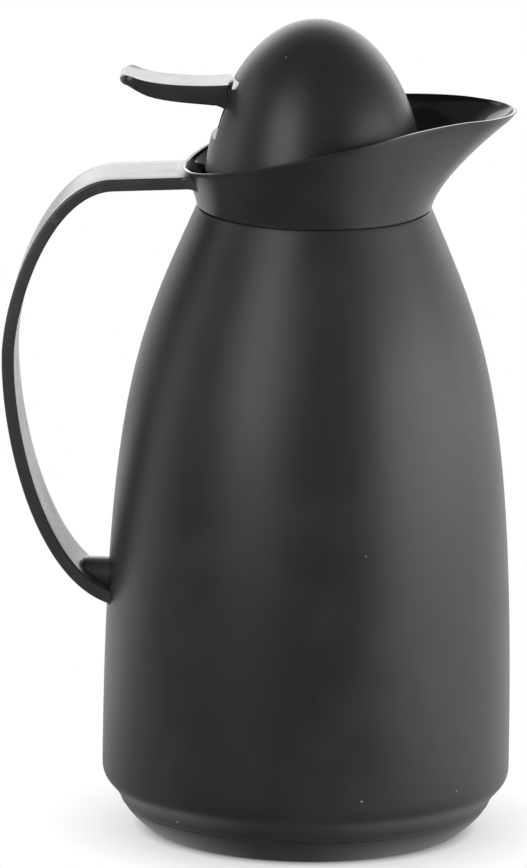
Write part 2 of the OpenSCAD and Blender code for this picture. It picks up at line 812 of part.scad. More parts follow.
module stopper_plug() {
    nose_in = nose_r - 2;
    color(black_plastic) {
        difference() {
            union() {
                rotate_extrude($fn = round_fn)
                    polygon([
                        [seat_r, nose_low],
                        [nose_r, nose_low],
                        [nose_r, plug_low],
                        [plug_r, plug_low],
                        [plug_r, plug_top],
                        [plug_r - plug_wall, plug_top],
                        [plug_r - plug_wall, plug_low + plug_floor],
                        [nose_in, plug_low + plug_floor],
                        [nose_in, nose_low + seat_h],
                        [seat_r, nose_low + seat_h]
                    ]);
                on_pillars()
                    translate([-pillar_d / 2, -pillar_w / 2, plug_low + plug_floor])
                        cube([pillar_d - 0.6, pillar_w, deck_low - plug_low - plug_floor]);
            }
            on_pillars()
                translate([0, 0, deck_low - deck_screw_len - 1])
                    cylinder(h = deck_screw_len + 2, r = deck_screw_r + running_fit, $fn = 32);
        }
        for (a = [0, 180])
            rotate([0, 0, a])
                thread_ridge(plug_r, plug_thread_z, 1);
    }
}

cheek_y = lever_w / 2 + slot_side;
bush_r = rod_r + 2;

module lever_deck() {
    color(dark_plastic)
        difference() {
            union() {
                translate([0, 0, deck_low])
                    cylinder(h = deck_h, r = deck_r, $fn = round_fn);
                translate([0, 0, deck_low])
                    cylinder(h = deck_h + tower_h, r = tower_r, $fn = 48);
                translate([0, 0, deck_low - bush_h])
                    cylinder(h = bush_h + 1, r = bush_r + 2, $fn = 48);
                for (side = [-1, 1])
                    translate([0, side * (cheek_y + cheek_t / 2), 0]) {
                        y_bar(eye_r, cheek_t, pin_x, pin_z);
                        translate([pin_x - eye_r, -cheek_t / 2, deck_low + deck_h / 2])
                            cube([2 * eye_r, cheek_t, pin_z - deck_low - deck_h / 2]);
                    }
            }
            y_bar(pin_r + running_fit, 2 * (cheek_y + cheek_t) + 2, pin_x, pin_z);
            translate([0, 0, deck_low - bush_h - 1])
                cylinder(h = bush_h + deck_h + tower_h + 2, r = rod_r + running_fit, $fn = 48);
            translate([0, 0, deck_low - bush_h - 1])
                cylinder(h = bush_h + 1, r = bush_r, $fn = 48);
            on_pillars()
                translate([0, 0, deck_low - 1])
                    cylinder(h = deck_h + 2, r = deck_screw_r + running_fit, $fn = 32);
        }
}

module deck_screws() {
    head_h = 1.8;
    color(steel)
        on_pillars() {
            translate([0, 0, deck_low - deck_screw_len])
                cylinder(h = deck_screw_len + deck_h, r = deck_screw_r, $fn = 32);
            translate([0, 0, deck_top])
                difference() {
                    cylinder(h = head_h, r = deck_screw_r + 1.3, $fn = 32);
                    translate([0, 0, head_h / 2])
                        cylinder(h = head_h, r = deck_screw_r * 0.8, $fn = 6);
                }
        }
}

module rod_bush() {
    color(rubber)
        ring_solid(rod_r + running_fit, bush_r - running_fit, deck_low - bush_h, deck_low);
}

// Half of the dome's outline from its lower edge to its crown
function dome_line(a, b) = [for (i = [0:curve_steps])
    let (
        low = asin((dome_edge - dome_z) / b),
        t = low + (90 - low) * i / curve_steps
    )
    [i == curve_steps ? 0 : a * cos(t), dome_z + b * sin(t)]
];

module stopper_dome() {
    slot_w = lever_w + 2 * slot_side;
    slot_high = lever_top_z + slot_room;
    color(black_plastic)
        difference() {
            union() {
                rotate_extrude($fn = round_fn)
                    polygon(concat(
                        dome_line(dome_r, dome_h),
                        backwards(dome_line(dome_r - dome_wall, dome_h - dome_wall))
                    ));
                ring_solid(deck_r - ledge_w, deck_r + 0.5, deck_top, deck_top + dome_wall);
            }
            translate([-dome_r - 1, -slot_w / 2, slot_low_z])
                cube([dome_r - 9, slot_w, slot_high - slot_low_z]);
        }
}

module lever_pin() {
    color(steel)
        y_bar(pin_r, 2 * (cheek_y + cheek_t), pin_x, pin_z);
}

// Side view of the lever, from its tip along the top to the pin and back underneath
// The deep root ends inside the dome, its underside eases up outside, and the top falls before the pin
root_in = 4;
root_ease = 4;
root_lift = 0.4;
root_run = 5;
fall_len = 8;
// The curl starts just behind the rounded tip, and its underside thickens on the way to the root
nose_lead = 1;
nose_run = 7;
curl_low = [0.5, 1, 2.6];
root_x = dome_r - root_in;
arm_low = lever_top_z - arm_depth;
tip_mid_z = lever_top_z + tip_rise - tip_t / 2;
lever_side = concat(
    [for (a = [-60:30:60])
        [-lever_reach + tip_t / 2 - tip_t / 2 * cos(a), tip_mid_z + tip_t / 2 * sin(a)]],
    curve([
        [-lever_reach + tip_t / 2 + nose_lead, lever_top_z + tip_rise - 0.2],
        [-lever_reach + tip_t / 2 + nose_run, lever_top_z + tip_rise * 0.35],
        [-lever_reach + curl_len * 0.6, lever_top_z],
        [-lever_reach + curl_len, lever_top_z]
    ], heel_steps),
    [
        [pin_x - fall_len, lever_top_z],
        [pin_x, pin_z + eye_r]
    ],
    [for (a = [60:-30:-60]) [pin_x + eye_r * cos(a), pin_z + eye_r * sin(a)]],
    [
        [pin_x, pin_z - eye_r],
        [pin_x - fall_len, arm_low],
        [-root_x + root_ease, arm_low]
    ],
    curve([
        [-root_x + root_ease - 1, arm_low + root_lift],
        [-root_x, lever_top_z - lever_depth],
        [-root_x - 0.4 * root_run, lever_top_z - lever_depth],
        [-root_x - root_run, lever_top_z - lever_depth]
    ], 5),
    curve([
        [-lever_reach + curl_len, lever_top_z - lever_depth + curl_low[0]],
        [-lever_reach + curl_len * 0.7, lever_top_z - lever_depth + curl_low[1]],
        [-lever_reach + curl_len * 0.35, lever_top_z - lever_depth + curl_low[2]],
        [-lever_reach + tip_t / 2 + nose_lead, tip_mid_z - tip_t / 2 - 0.1]
    ], heel_steps)
);

module thumb_lever() {
    tip_share = 0.42;
    tip_round = lever_w * tip_share;
    pin_web = 2.5;
    pocket_end = pin_x - eye_r - pin_web;
    over = 20;
    pocket_w = lever_w - 2 * lever_wall;
    color(black_plastic)
        difference() {
            union() {
                intersection() {
                    translate([0, lever_w / 2, 0])
                        rotate([90, 0, 0])
                            linear_extrude(height = lever_w)
                                polygon(lever_side);
                    translate([0, 0, pin_z - over])
                        linear_extrude(height = 2 * over)
                            union() {
                                translate([-lever_reach + tip_round, -lever_w / 2])
                                    square([lever_reach + pin_x + eye_r - tip_round, lever_w]);
                                for (side = [-1, 1])
                                    translate([-lever_reach + tip_round, side * (lever_w / 2 - tip_round)])
                                        circle(r = tip_round, $fn = 48);
                                translate([-lever_reach, -lever_w / 2 + tip_round])
                                    square([tip_round, lever_w - 2 * tip_round]);
                            }
                }
            }
            translate([-root_x + root_ease + lever_wall, -pocket_w / 2, pin_z - over])
                cube([root_x - root_ease - lever_wall + pocket_end, pocket_w, over + lever_top - lever_wall]);
            y_bar(pin_r + running_fit, lever_w + 2, pin_x, pin_z);
        }
    color(black_plastic)
        press_rib();
}

// The rib that presses on the rod's cap, rounded underneath
module press_rib() {
    rib_r = 2;
    rib_low = cap_top + face_gap + rib_r;
    y_bar(rib_r, lever_w - 2 * lever_wall + 1, 0, rib_low);
    translate([-rib_r, -(lever_w - 2 * lever_wall + 1) / 2, rib_low])
        cube([2 * rib_r, lever_w - 2 * lever_wall + 1, lever_top_z - lever_wall / 2 - rib_low]);
}

module valve_rod() {
    color(steel) {
        translate([0, 0, cap_low])
            cylinder(h = cap_h, r = spring_r + wire_r + 0.4, $fn = 48);
        translate([0, 0, disc_top])
            cylinder(h = cap_low - disc_top + 0.5, r = rod_r, $fn = 48);
        translate([0, 0, disc_low - nut_h])
            cylinder(h = disc_h + nut_h + 0.5, r = rod_end_r, $fn = 48);
    }
}

module valve_seal() {
    color(rubber)
        ring_solid(rod_r + seat_fit, disc_r, disc_top, seal_top);
}

module valve_disc() {
    color(dark_plastic)
        ring_solid(rod_end_r + running_fit, disc_r, disc_low, disc_top);
}

module valve_nut() {
    color(steel)
        translate([0, 0, disc_low - nut_h])
            difference() {
                cylinder(h = nut_h, r = rod_end_r * 2, $fn = 6);
                translate([0, 0, -1])
                    cylinder(h = nut_h + 2, r = rod_end_r + running_fit, $fn = 32);
            }
}

// The spring's turns as one unbroken tube of six sides, with eight rings to a turn
spring_low = deck_top + wire_r;
spring_high = cap_low - wire_r;
spring_rings = spring_turns * 8;
spring_pitch = (spring_high - spring_low) / spring_turns;
echo(least_gap_between_turns = spring_pitch - 2 * wire_r);
echo(least_gap_when_pressed = spring_pitch - valve_travel / spring_turns - 2 * wire_r);

function spring_ring(i) =
    let (
        a = i * 45,
        z = spring_low + (spring_high - spring_low) * i / spring_rings
    )
    [for (k = [0:5])
        around(a, spring_r + wire_r * cos(k * 60 + 30), z + wire_r * sin(k * 60 + 30))];

module return_spring() {
    rings = [for (i = [0:spring_rings]) spring_ring(i)];
    faces = concat(skin_faces(spring_rings + 1, 6), end_faces(spring_rings + 1, 6));
    color(steel)
        polyhedron(joined(rings), flipped(faces));
}

outer_shell();
base_cap();
liner_cushion();
inner_flask();
outer_flask();
flask_spacers();
neck_gasket();
neck_ring();
pouring_collar();
handle();
handle_screw();
stopper_gasket();
stopper_plug();
lever_deck();
deck_screws();
rod_bush();
stopper_dome();
lever_pin();
thumb_lever();
valve_rod();
valve_seal();
valve_disc();
valve_nut();
return_spring();
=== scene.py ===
# %% [markdown]
# # A thermal carafe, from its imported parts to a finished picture
# The carafe is a round jug with a glass liner, a pouring collar, a strap handle and a domed
# stopper with a thumb lever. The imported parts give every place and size, so the work here is
# to add what plain solids lack: soft edges, smooth curves, and plastics that look moulded.

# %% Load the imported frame
import json
import math
import bmesh
import bpy
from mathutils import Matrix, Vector


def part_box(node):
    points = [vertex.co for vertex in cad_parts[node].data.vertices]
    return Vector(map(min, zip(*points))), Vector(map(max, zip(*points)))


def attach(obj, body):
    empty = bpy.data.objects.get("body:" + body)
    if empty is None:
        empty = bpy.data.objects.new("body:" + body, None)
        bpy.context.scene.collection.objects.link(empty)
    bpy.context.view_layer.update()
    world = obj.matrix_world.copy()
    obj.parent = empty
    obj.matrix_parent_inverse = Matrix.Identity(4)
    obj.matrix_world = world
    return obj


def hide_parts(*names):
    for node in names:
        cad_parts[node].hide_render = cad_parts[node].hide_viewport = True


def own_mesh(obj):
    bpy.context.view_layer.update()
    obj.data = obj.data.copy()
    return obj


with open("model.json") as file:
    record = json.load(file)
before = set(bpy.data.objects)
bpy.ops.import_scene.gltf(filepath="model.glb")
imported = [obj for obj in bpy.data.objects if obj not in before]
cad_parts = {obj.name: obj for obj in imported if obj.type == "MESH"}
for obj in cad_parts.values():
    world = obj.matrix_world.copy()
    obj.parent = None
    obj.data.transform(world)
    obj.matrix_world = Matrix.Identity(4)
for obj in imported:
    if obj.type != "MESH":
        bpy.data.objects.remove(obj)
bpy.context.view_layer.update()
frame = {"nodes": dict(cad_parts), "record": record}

scene = bpy.context.scene
nodes = frame["nodes"]

# %% [markdown]
# ## Camera
# The photograph was taken from far away with a long lens, a little above the rim, so upright
# edges stay parallel. A long lens at five metres gives the same flat view. The roll of less
# than one degree is that of the photograph.

# %% Place the camera
VIEW_TURN = math.radians(2.3)
VIEW_RISE = math.radians(12.898)
VIEW_ROLL = math.radians(0.844)
VIEW_DISTANCE = 5.0
PIXELS_HIGH = 868
FOCAL_PIXELS = 14591.0
SENSOR = 36.0
AIM_ALONG = -0.01615
AIM_HEIGHT = 0.137416

back = Vector((
    math.sin(VIEW_TURN) * math.cos(VIEW_RISE),
    -math.cos(VIEW_TURN) * math.cos(VIEW_RISE),
    math.sin(VIEW_RISE),
))
aim = Vector((AIM_ALONG * math.cos(VIEW_TURN), AIM_ALONG * math.sin(VIEW_TURN), AIM_HEIGHT))
level = Vector((math.cos(VIEW_TURN), math.sin(VIEW_TURN), 0.0))
upright = back.cross(level)
rolled = level * math.cos(VIEW_ROLL) + upright * math.sin(VIEW_ROLL)
rolled_up = back.cross(rolled)

camera_data = bpy.data.cameras.new("camera")
camera_data.sensor_width = SENSOR
camera_data.lens = SENSOR * FOCAL_PIXELS / PIXELS_HIGH
camera_data.clip_end = 50.0
camera = bpy.data.objects.new("camera", camera_data)
scene.collection.objects.link(camera)
turn = camera.matrix_world.copy()
for row in range(3):
    turn[row][0] = rolled[row]
    turn[row][1] = rolled_up[row]
    turn[row][2] = back[row]
    turn[row][3] = (aim + back * VIEW_DISTANCE)[row]
camera.matrix_world = turn
scene.camera = camera
print("lens:", round(camera_data.lens, 1), "mm")

# %% [markdown]
# ## Helpers for making meshes
# Nearly every piece is either turned on a lathe or swept along a line. So a few helpers do
# most of the work: some draw a curve or an outline, and others turn an outline round the axis
# or stretch a skin over a row of rings. All sizes are written in millimetres.

# %% Curves and outlines
MM = 0.001
TINY = 1e-6


def circle(radius, count=48):
    """Points round a circle, as pairs."""
    turns = [2 * math.pi * j / count for j in range(count)]
    return [(radius * math.cos(t), radius * math.sin(t)) for t in turns]



def curve(points, steps):
    """A smooth curve from the first to the last of four points."""
    made = []
    for i in range(steps + 1):
        t = i / steps
        weights = ((1 - t) ** 3, 3 * (1 - t) ** 2 * t, 3 * (1 - t) * t * t, t ** 3)
        made.append(tuple(sum(w * p[k] for w, p in zip(weights, points)) for k in (0, 1)))
    return made


def shifted(path, distance):
    """The path moved sideways, to the left of its run."""
    made = []
    for i, point in enumerate(path):
        a = path[max(i - 1, 0)]
        b = path[min(i + 1, len(path) - 1)]
        run = (b[0] - a[0], b[1] - a[1])
        length = math.hypot(*run)
        made.append((point[0] - distance * run[1] / length, point[1] + distance * run[0] / length))
    return made


def softened(outline, radius, least=25.0, steps=4):
    """Rounds every corner of a closed outline that is sharper than the least angle."""
    made = []
    count = len(outline)
    for i, point in enumerate(outline):
        here = Vector(point)
        before = Vector(outline[i - 1]) - here
        after = Vector(outline[(i + 1) % count]) - here
        bend = math.pi - before.angle(after)
        if math.degrees(bend) < least or abs(point[0]) < TINY:
            made.append(point)
            continue
        cut = min(radius * math.tan(bend / 2), 0.45 * before.length, 0.45 * after.length)
        start = here + before.normalized() * cut
        end = here + after.normalized() * cut
        for j in range(steps + 1):
            t = j / steps
            spot = start * (1 - t) ** 2 + here * 2 * t * (1 - t) + end * t * t
            made.append((spot.x, spot.y))
    return made


# %% Turning meshes into pieces
SMOOTH_ANGLE = 32.0


def shaded(mesh, angle):
    """Shades a mesh smooth, apart from edges sharper than the angle in degrees."""
    mesh.polygons.foreach_set("use_smooth", [True] * len(mesh.polygons))
    mesh.set_sharp_from_angle(angle=math.radians(angle))


def new_piece(name, points, faces, body=None, slot=None):
    """A piece from points in millimetres, riding on its body."""
    mesh = bpy.data.meshes.new(name)
    mesh.from_pydata([[v * MM for v in p] for p in points], [], faces)
    shaper = bmesh.new()
    shaper.from_mesh(mesh)
    bmesh.ops.recalc_face_normals(shaper, faces=shaper.faces)
    shaper.to_mesh(mesh)
    shaper.free()
    shaded(mesh, SMOOTH_ANGLE)
    piece = bpy.data.objects.new(name, mesh)
    scene.collection.objects.link(piece)
    if body:
        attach(piece, body)
    print("made", name, "with", len(faces), "faces")
    return piece


def spun(outline, segments=192):
    """Points and faces of a closed outline of (radius, height) turned round the axis."""
    points = []
    rings = []
    for radius, height in outline:
        if radius < TINY:
            rings.append([len(points)])
            points.append((0.0, 0.0, height))
            continue
        rings.append(list(range(len(points), len(points) + segments)))
        points += [(x, y, height) for x, y in circle(radius, segments)]
    faces = []
    for i, low in enumerate(rings):
        high = rings[(i + 1) % len(rings)]
        for j in range(segments):
            k = (j + 1) % segments
            if len(low) == 1 and len(high) == 1:
                break
            if len(low) == 1:
                faces.append((low[0], high[k], high[j]))
            elif len(high) == 1:
                faces.append((low[j], low[k], high[0]))
            else:
                faces.append((low[j], low[k], high[k], high[j]))
    return points, faces


def skinned(rings, closed=False):
    """Points and faces over rings of equal length, with flat ends unless it is closed."""
    count = len(rings[0])
    points = [p for ring in rings for p in ring]
    faces = []
    for i in range(len(rings) - (0 if closed else 1)):
        low = i * count
        high = ((i + 1) % len(rings)) * count
        for j in range(count):
            k = (j + 1) % count
            faces.append((low + j, low + k, high + k, high + j))
    if not closed:
        faces.append(tuple(range(count)))
        faces.append(tuple(range(len(points) - count, len(points))))
    return points, faces


def added(first, second):
    """Two sets of points and faces in one."""
    offset = len(first[0])
    moved = [tuple(i + offset for i in face) for face in second[1]]
    return first[0] + second[0], first[1] + moved


# %% Changing a finished mesh
def baked(piece):
    """Applies the piece's modifiers and returns its new mesh."""
    bpy.context.view_layer.update()
    graph = bpy.context.evaluated_depsgraph_get()
    mesh = bpy.data.meshes.new_from_object(piece.evaluated_get(graph))
    piece.modifiers.clear()
    old = piece.data
    piece.data = mesh
    bpy.data.meshes.remove(old)
    return mesh


def carved(piece, cutter):
    """Cuts the cutter out of the piece and removes the cutter."""
    change = piece.modifiers.new("cut", "BOOLEAN")
    change.object = cutter
    change.operation = "DIFFERENCE"
    change.solver = "EXACT"
    mesh = baked(piece)
    bpy.data.objects.remove(cutter)
    print("cut", piece.name, "now", len(mesh.polygons), "faces")


def eased(piece, width, segments=2, angle=40.0):
    """Softens the piece's sharp edges with a narrow bevel."""
    change = piece.modifiers.new("ease", "BEVEL")
    change.width = width * MM
    change.segments = segments
    change.limit_method = "ANGLE"
    change.angle_limit = math.radians(angle)
    shaded(baked(piece), 35.0)
    print("eased", piece.name, "by", width, "mm")


# %% [markdown]
# ## The jug's shell
# The shell is a thin plastic skin, wide at the bottom, with a long shoulder that draws in to
# the mouth. It could be shaped from a cylinder with subdivision, but a turned outline gives
# the exact curve and an even wall. Its two edges are rounded, because moulded edges always
# are, and they catch the light along the seams.

# %% Turn the shell
SEAM_Z = 217.5
BASE_H = 9.3
BODY_R = 69.97
MOUTH_R = 40.1
SHELL_WALL = 2.0
HEEL_R = 63.2
HEEL_H = 12.9
HEEL_SLOPE = math.radians(19)
MOUTH_SLOPE = math.radians(23)
MOUTH_PULL = 47.0
SHOULDER_PULL = 130.0
HEEL_BULGE = 0.55
HEEL_PULL = 0.49
SIDE_LOW = BASE_H + HEEL_H + 2.8
SHELL_EDGE = 0.7

heel = curve([
    (HEEL_R, BASE_H),
    (HEEL_R + HEEL_H * HEEL_BULGE * math.tan(HEEL_SLOPE), BASE_H + HEEL_H * HEEL_BULGE),
    (BODY_R, BASE_H + HEEL_H * HEEL_PULL),
    (BODY_R, BASE_H + HEEL_H),
], 16)
shoulder = curve([
    (BODY_R, SIDE_LOW),
    (BODY_R, SIDE_LOW + SHOULDER_PULL),
    (MOUTH_R + MOUTH_PULL * math.sin(MOUTH_SLOPE), SEAM_Z - MOUTH_PULL * math.cos(MOUTH_SLOPE)),
    (MOUTH_R, SEAM_Z),
], 64)
skin_line = heel + shoulder
inside_line = [p for p in shifted(skin_line, SHELL_WALL) if BASE_H + 1 < p[1] < SEAM_Z - 1]
mouth_in = MOUTH_R - SHELL_WALL / math.cos(MOUTH_SLOPE)
heel_in = HEEL_R - SHELL_WALL / math.cos(HEEL_SLOPE)
shell_outline = softened(
    skin_line + [(mouth_in, SEAM_Z)] + inside_line[::-1] + [(heel_in, BASE_H)], SHELL_EDGE)
print("shell outline has", len(shell_outline), "points")

# %% Add the boss that takes the handle's screw
BOSS_R = 4.75
BOSS_DEPTH = 10.0
FOOT_Z = 82.0
SCREW_Z = FOOT_Z + 6.0


def skin_radius(z):
    """Outer radius of the shell at a height."""
    for (r0, z0), (r1, z1) in zip(skin_line, skin_line[1:]):
        if z0 <= z <= z1:
            return r0 + (r1 - r0) * (z - z0) / max(z1 - z0, TINY)
    return MOUTH_R


boss_ends = (-skin_radius(SCREW_Z) + SHELL_WALL / 2, BOSS_DEPTH - BODY_R)
boss = skinned([[(x, y, SCREW_Z + z) for y, z in circle(BOSS_R)] for x in boss_ends])
shell = new_piece("body_shell", *added(spun(shell_outline), boss), "jug", "matte_black")
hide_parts("outer_shell")

# %% [markdown]
# ## The base cap
# A cap closes the jug from below. It steps back half a millimetre behind the shell, which
# makes the thin line round the foot, and it stands on a ring so that its middle stays clear
# of the table. It is turned in the same way as the shell.

# %% Turn the base cap
SEAM_STEP = 0.5
CAP_GAP = 0.25
FOOT_R = 53.0
FOOT_W = 7.0
RECESS = 1.6
CAP_WALL = 2.0
CAP_EDGE = 0.3
SPIGOT_FIT = 0.1
SPIGOT_H = 5.0
CAP_EDGE_R = HEEL_R - SEAM_STEP
cap_h = BASE_H - CAP_GAP
cap_line = curve([
    (FOOT_R, 0.0),
    (FOOT_R + (CAP_EDGE_R - FOOT_R) * 0.1, 0.0),
    (CAP_EDGE_R - cap_h * 0.15, cap_h * 0.62),
    (CAP_EDGE_R, cap_h),
], 20)
spigot_r = heel_in - SPIGOT_FIT
spigot_top = BASE_H + SPIGOT_H
cap_outline = softened(
    [(0.0, RECESS), (FOOT_R - FOOT_W, RECESS), (FOOT_R - FOOT_W + 1, 0.0)] + cap_line + [
        (CAP_EDGE_R - CAP_GAP, BASE_H), (spigot_r, BASE_H), (spigot_r, spigot_top),
        (spigot_r - CAP_WALL, spigot_top), (spigot_r - CAP_WALL, BASE_H),
        (FOOT_R - CAP_WALL, RECESS + CAP_WALL), (0.0, RECESS + CAP_WALL),
    ], CAP_EDGE)
cap = new_piece("base_cover", *spun(cap_outline), "jug", "matte_black")
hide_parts("base_cap")

# %% [markdown]
# ## The pouring collar
# The collar is the jug's lip: round at its seam, with a rim that slopes up to a beak. It can't
# be turned, because every direction has its own height and reach. So it is lofted: for each
# direction one section is drawn, up the outside, over the thin flat rim, down the inside and
# across the bowl, and the sections are skinned. The inside is polished and the outside is
# satin, so the faces carry two materials.

# %% Describe the rim
COLLAR_Z = SEAM_Z + 0.6
COLLAR_R = 40.2
RIM_BACK = 12.3
RIM_FRONT = 34.9
FLARE = 0.16
SPOUT_REACH = 68.7
SPOUT_TIP = 22.9
BOWL_R = 48.2
RIM_LEVEL_X = 53.8
RIM_CURVE = 1.51
FLARE_CURVE = 1.42
COLLAR_WALL = 2.0
SLEEVE_TOP = SEAM_Z + 3.5
HOLE_R = 31.1
LIP_HALF = 0.65
LIP_EDGE = 0.2
LIP_FADE = 9.0
WALL_STEPS = 14

tip_x = SPOUT_REACH - SPOUT_TIP
side_dir = math.acos((BOWL_R - SPOUT_TIP) / tip_x)
tip_end = math.atan2(SPOUT_TIP * math.sin(side_dir), tip_x + SPOUT_TIP * math.cos(side_dir))


def rim_height(x):
    """Height of the rim over the seam at a distance along the spout."""
    share = max(0.0, RIM_LEVEL_X - x) / (RIM_LEVEL_X + BOWL_R)
    return RIM_FRONT - (RIM_FRONT - RIM_BACK) * share ** RIM_CURVE


def spout_radius(a):
    """Reach of the spout's outline, seen from above, in the direction a."""
    a = abs(a)
    if a < tip_end:
        return tip_x * math.cos(a) + math.sqrt(SPOUT_TIP ** 2 - (tip_x * math.sin(a)) ** 2)
    if a < side_dir:
        return BOWL_R / math.cos(a - side_dir)
    return 0.0


def rim_radius(a):
    """Reach of the rim: the bowl, which widens as it rises, or the spout."""
    rise = rim_height(BOWL_R * math.cos(a)) - rim_height(BOWL_R * math.cos(side_dir))
    return max(BOWL_R + FLARE * rise, spout_radius(a))


def rim_level(a):
    """Height of the rim in a direction."""
    return SEAM_Z + rim_height(rim_radius(a) * math.cos(a))


def collar_radius(a, z):
    """Outer radius of the collar in a direction at a height."""
    rise = max(0.0, z - COLLAR_Z) / (rim_level(a) - COLLAR_WALL / 2 - COLLAR_Z)
    return COLLAR_R + (rim_radius(a) - COLLAR_R) * min(1.0, rise) ** FLARE_CURVE


print("rim at the back", round(rim_level(math.pi), 1), "and at the tip", round(rim_level(0.0), 1))

# %% Loft the collar
AROUND = 240
BOWL_RISE = 5.0
SILL = (0.06, 0.14, 0.3, 0.6, 0.97)
SILL_RATE = 1.9


def collar_section(a):
    """One section of the collar, from its foot over the rim and down to the sleeve."""
    high = rim_level(a) - LIP_EDGE
    low = COLLAR_Z + BOWL_RISE
    lip_out = rim_radius(a) - LIP_EDGE
    lip_in = rim_radius(a) - 2 * LIP_HALF + LIP_EDGE
    flat = [(COLLAR_R - 0.35, COLLAR_Z), (COLLAR_R - 0.05, COLLAR_Z + 0.1)]
    for i in range(1, WALL_STEPS + 1):
        z = COLLAR_Z + (high - COLLAR_Z) * (i / WALL_STEPS)
        flat.append((collar_radius(a, z), z))
    for middle, turns in ((lip_out, (30, 60, 90)), (lip_in, (90, 120, 150))):
        for t in turns:
            t = math.radians(t)
            flat.append((middle + LIP_EDGE * math.cos(t), high + LIP_EDGE * math.sin(t)))
    for i in range(WALL_STEPS, -1, -1):
        z = low + (high - low) * i / WALL_STEPS
        deep = min(1.0, (high - z) / LIP_FADE)
        wall = 2 * LIP_HALF + (COLLAR_WALL - 2 * LIP_HALF) * math.sin(math.pi / 2 * deep)
        flat.append((collar_radius(a, z) - wall, z))
    wall_r, wall_z = flat[-1]
    for t in SILL:
        sill_z = wall_z + (SLEEVE_TOP - wall_z) * min(1, SILL_RATE * t)
        flat.append((wall_r + (HOLE_R - wall_r) * t, sill_z))
    flat += [(HOLE_R, SLEEVE_TOP - 0.2), (HOLE_R, COLLAR_Z)]
    return [(r * math.cos(a), r * math.sin(a), z) for r, z in flat]


sections = [collar_section(2 * math.pi * i / AROUND - math.pi) for i in range(AROUND)]
collar = new_piece("collar_lip", *skinned(sections, closed=True), "jug", "satin_black")
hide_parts("pouring_collar")

# %% Mark the polished faces
section_size = len(sections[0])
inside_from = WALL_STEPS + 4
for face in collar.data.polygons:
    places = sorted(v % section_size for v in face.vertices)
    if places[0] >= inside_from and places[-1] < section_size - 1 and places[-1] - places[0] < 3:
        face.material_index = 1
print("polished faces:", sum(face.material_index for face in collar.data.polygons))

# %% [markdown]
# ## The handle
# The handle is one flat strap that leaves the collar level, bends down and comes back to the
# body, where a lug carries its screw. A swept section follows the strap's middle line. The
# section has rounded edges with enough points for a clean highlight, and it widens a little
# where it grows out of the collar, which is how a moulder avoids a weak corner.

# %% Draw the strap's middle line
STRAP_W = 30.5
STRAP_T = 4.25
STRAP_Z = SEAM_Z + 9.8
STRAP_SLOPE = math.radians(3)
RUN_END = 68.1
TOP_PULL = 22.8
GRIP_PULL = 19.3
OUT_X = 103.4
OUT_Z = SEAM_Z - 52.0
LOW_PULL = 28.5
FOOT_PULL = 25.0
FOOT_SLOPE = math.radians(19.7)
ROOT_GAP = 0.5
ROOT_STEPS = 16
ROOT_SPREAD = 1.8
foot_x = skin_radius(FOOT_Z) - SHELL_WALL / 2
root_x = rim_radius(math.pi) + ROOT_GAP


def run_z(x):
    """Height of the strap's straight run, which falls a little on its way out."""
    return STRAP_Z - (x - root_x) * math.tan(STRAP_SLOPE)


straight = []
for i in range(ROOT_STEPS):
    x = root_x + (RUN_END - root_x) * (i / ROOT_STEPS) ** ROOT_SPREAD
    straight.append((x, run_z(x)))
upper = curve([
    (RUN_END, run_z(RUN_END)), (RUN_END + TOP_PULL, run_z(RUN_END + TOP_PULL)),
    (OUT_X, OUT_Z + GRIP_PULL), (OUT_X, OUT_Z),
], 56)
lower = curve([
    (OUT_X, OUT_Z),
    (OUT_X, OUT_Z - LOW_PULL),
    (foot_x + FOOT_PULL * math.cos(FOOT_SLOPE), FOOT_Z + FOOT_PULL * math.sin(FOOT_SLOPE)),
    (foot_x, FOOT_Z),
], 56)
strap_line = straight + upper + lower[1:]
print("strap's middle line has", len(strap_line), "points")

# %% Sweep the strap along it
ROOT_FLARE = 1.5
ROOT_LEN = 2.8
ROOT_DEPTH = 0.15
ROOT_UNDER = 0.3
FOOT_DROP = 0.6
EDGE_R = 0.8


def strap_section():
    """The strap's section as (across, outwards), with rounded edges."""
    w, up = STRAP_W / 2, STRAP_T / 2
    corners = [(w, up, 0), (w, -up, 1), (-w, -up, 2), (-w, up, 3)]
    made = []
    for cx, cy, quarter in corners:
        mx = cx - math.copysign(EDGE_R, cx)
        my = cy - math.copysign(EDGE_R, cy)
        for i in range(5):
            t = math.pi / 2 * (1 - quarter) - math.pi / 2 * i / 4
            made.append((mx + EDGE_R * math.cos(t), my + EDGE_R * math.sin(t)))
        if quarter in (1, 3):
            made += [(cx - 2 * cx * i / 6, cy) for i in range(1, 6)]
    return made


def collar_back(y, z):
    """Distance from the axis to the collar's back, at y across."""
    r = collar_radius(math.pi - math.asin(y / COLLAR_R), z)
    return math.sqrt(r * r - y * y)


def root_point(i, across, height):
    """A point of the strap near the collar, whose curve it follows, flared where they meet."""
    share = (i / ROOT_STEPS) ** ROOT_SPREAD
    gap = (RUN_END - collar_back(across, STRAP_Z + height)) * share
    flare = ROOT_FLARE * max(0.0, 1 - gap / ROOT_LEN) ** 2
    across *= 1 + 2 * flare / STRAP_W
    height *= 1 + 2 * flare / STRAP_T
    room = rim_level(math.pi - math.asin(across / COLLAR_R)) - ROOT_UNDER - STRAP_Z
    if flare > 0:
        height = min(height, max(room, STRAP_T / 2))
    start = collar_back(across, STRAP_Z + height) - ROOT_DEPTH
    x = start + (RUN_END - start) * share
    return -x - math.sin(STRAP_SLOPE) * height, across, run_z(x) + math.cos(STRAP_SLOPE) * height


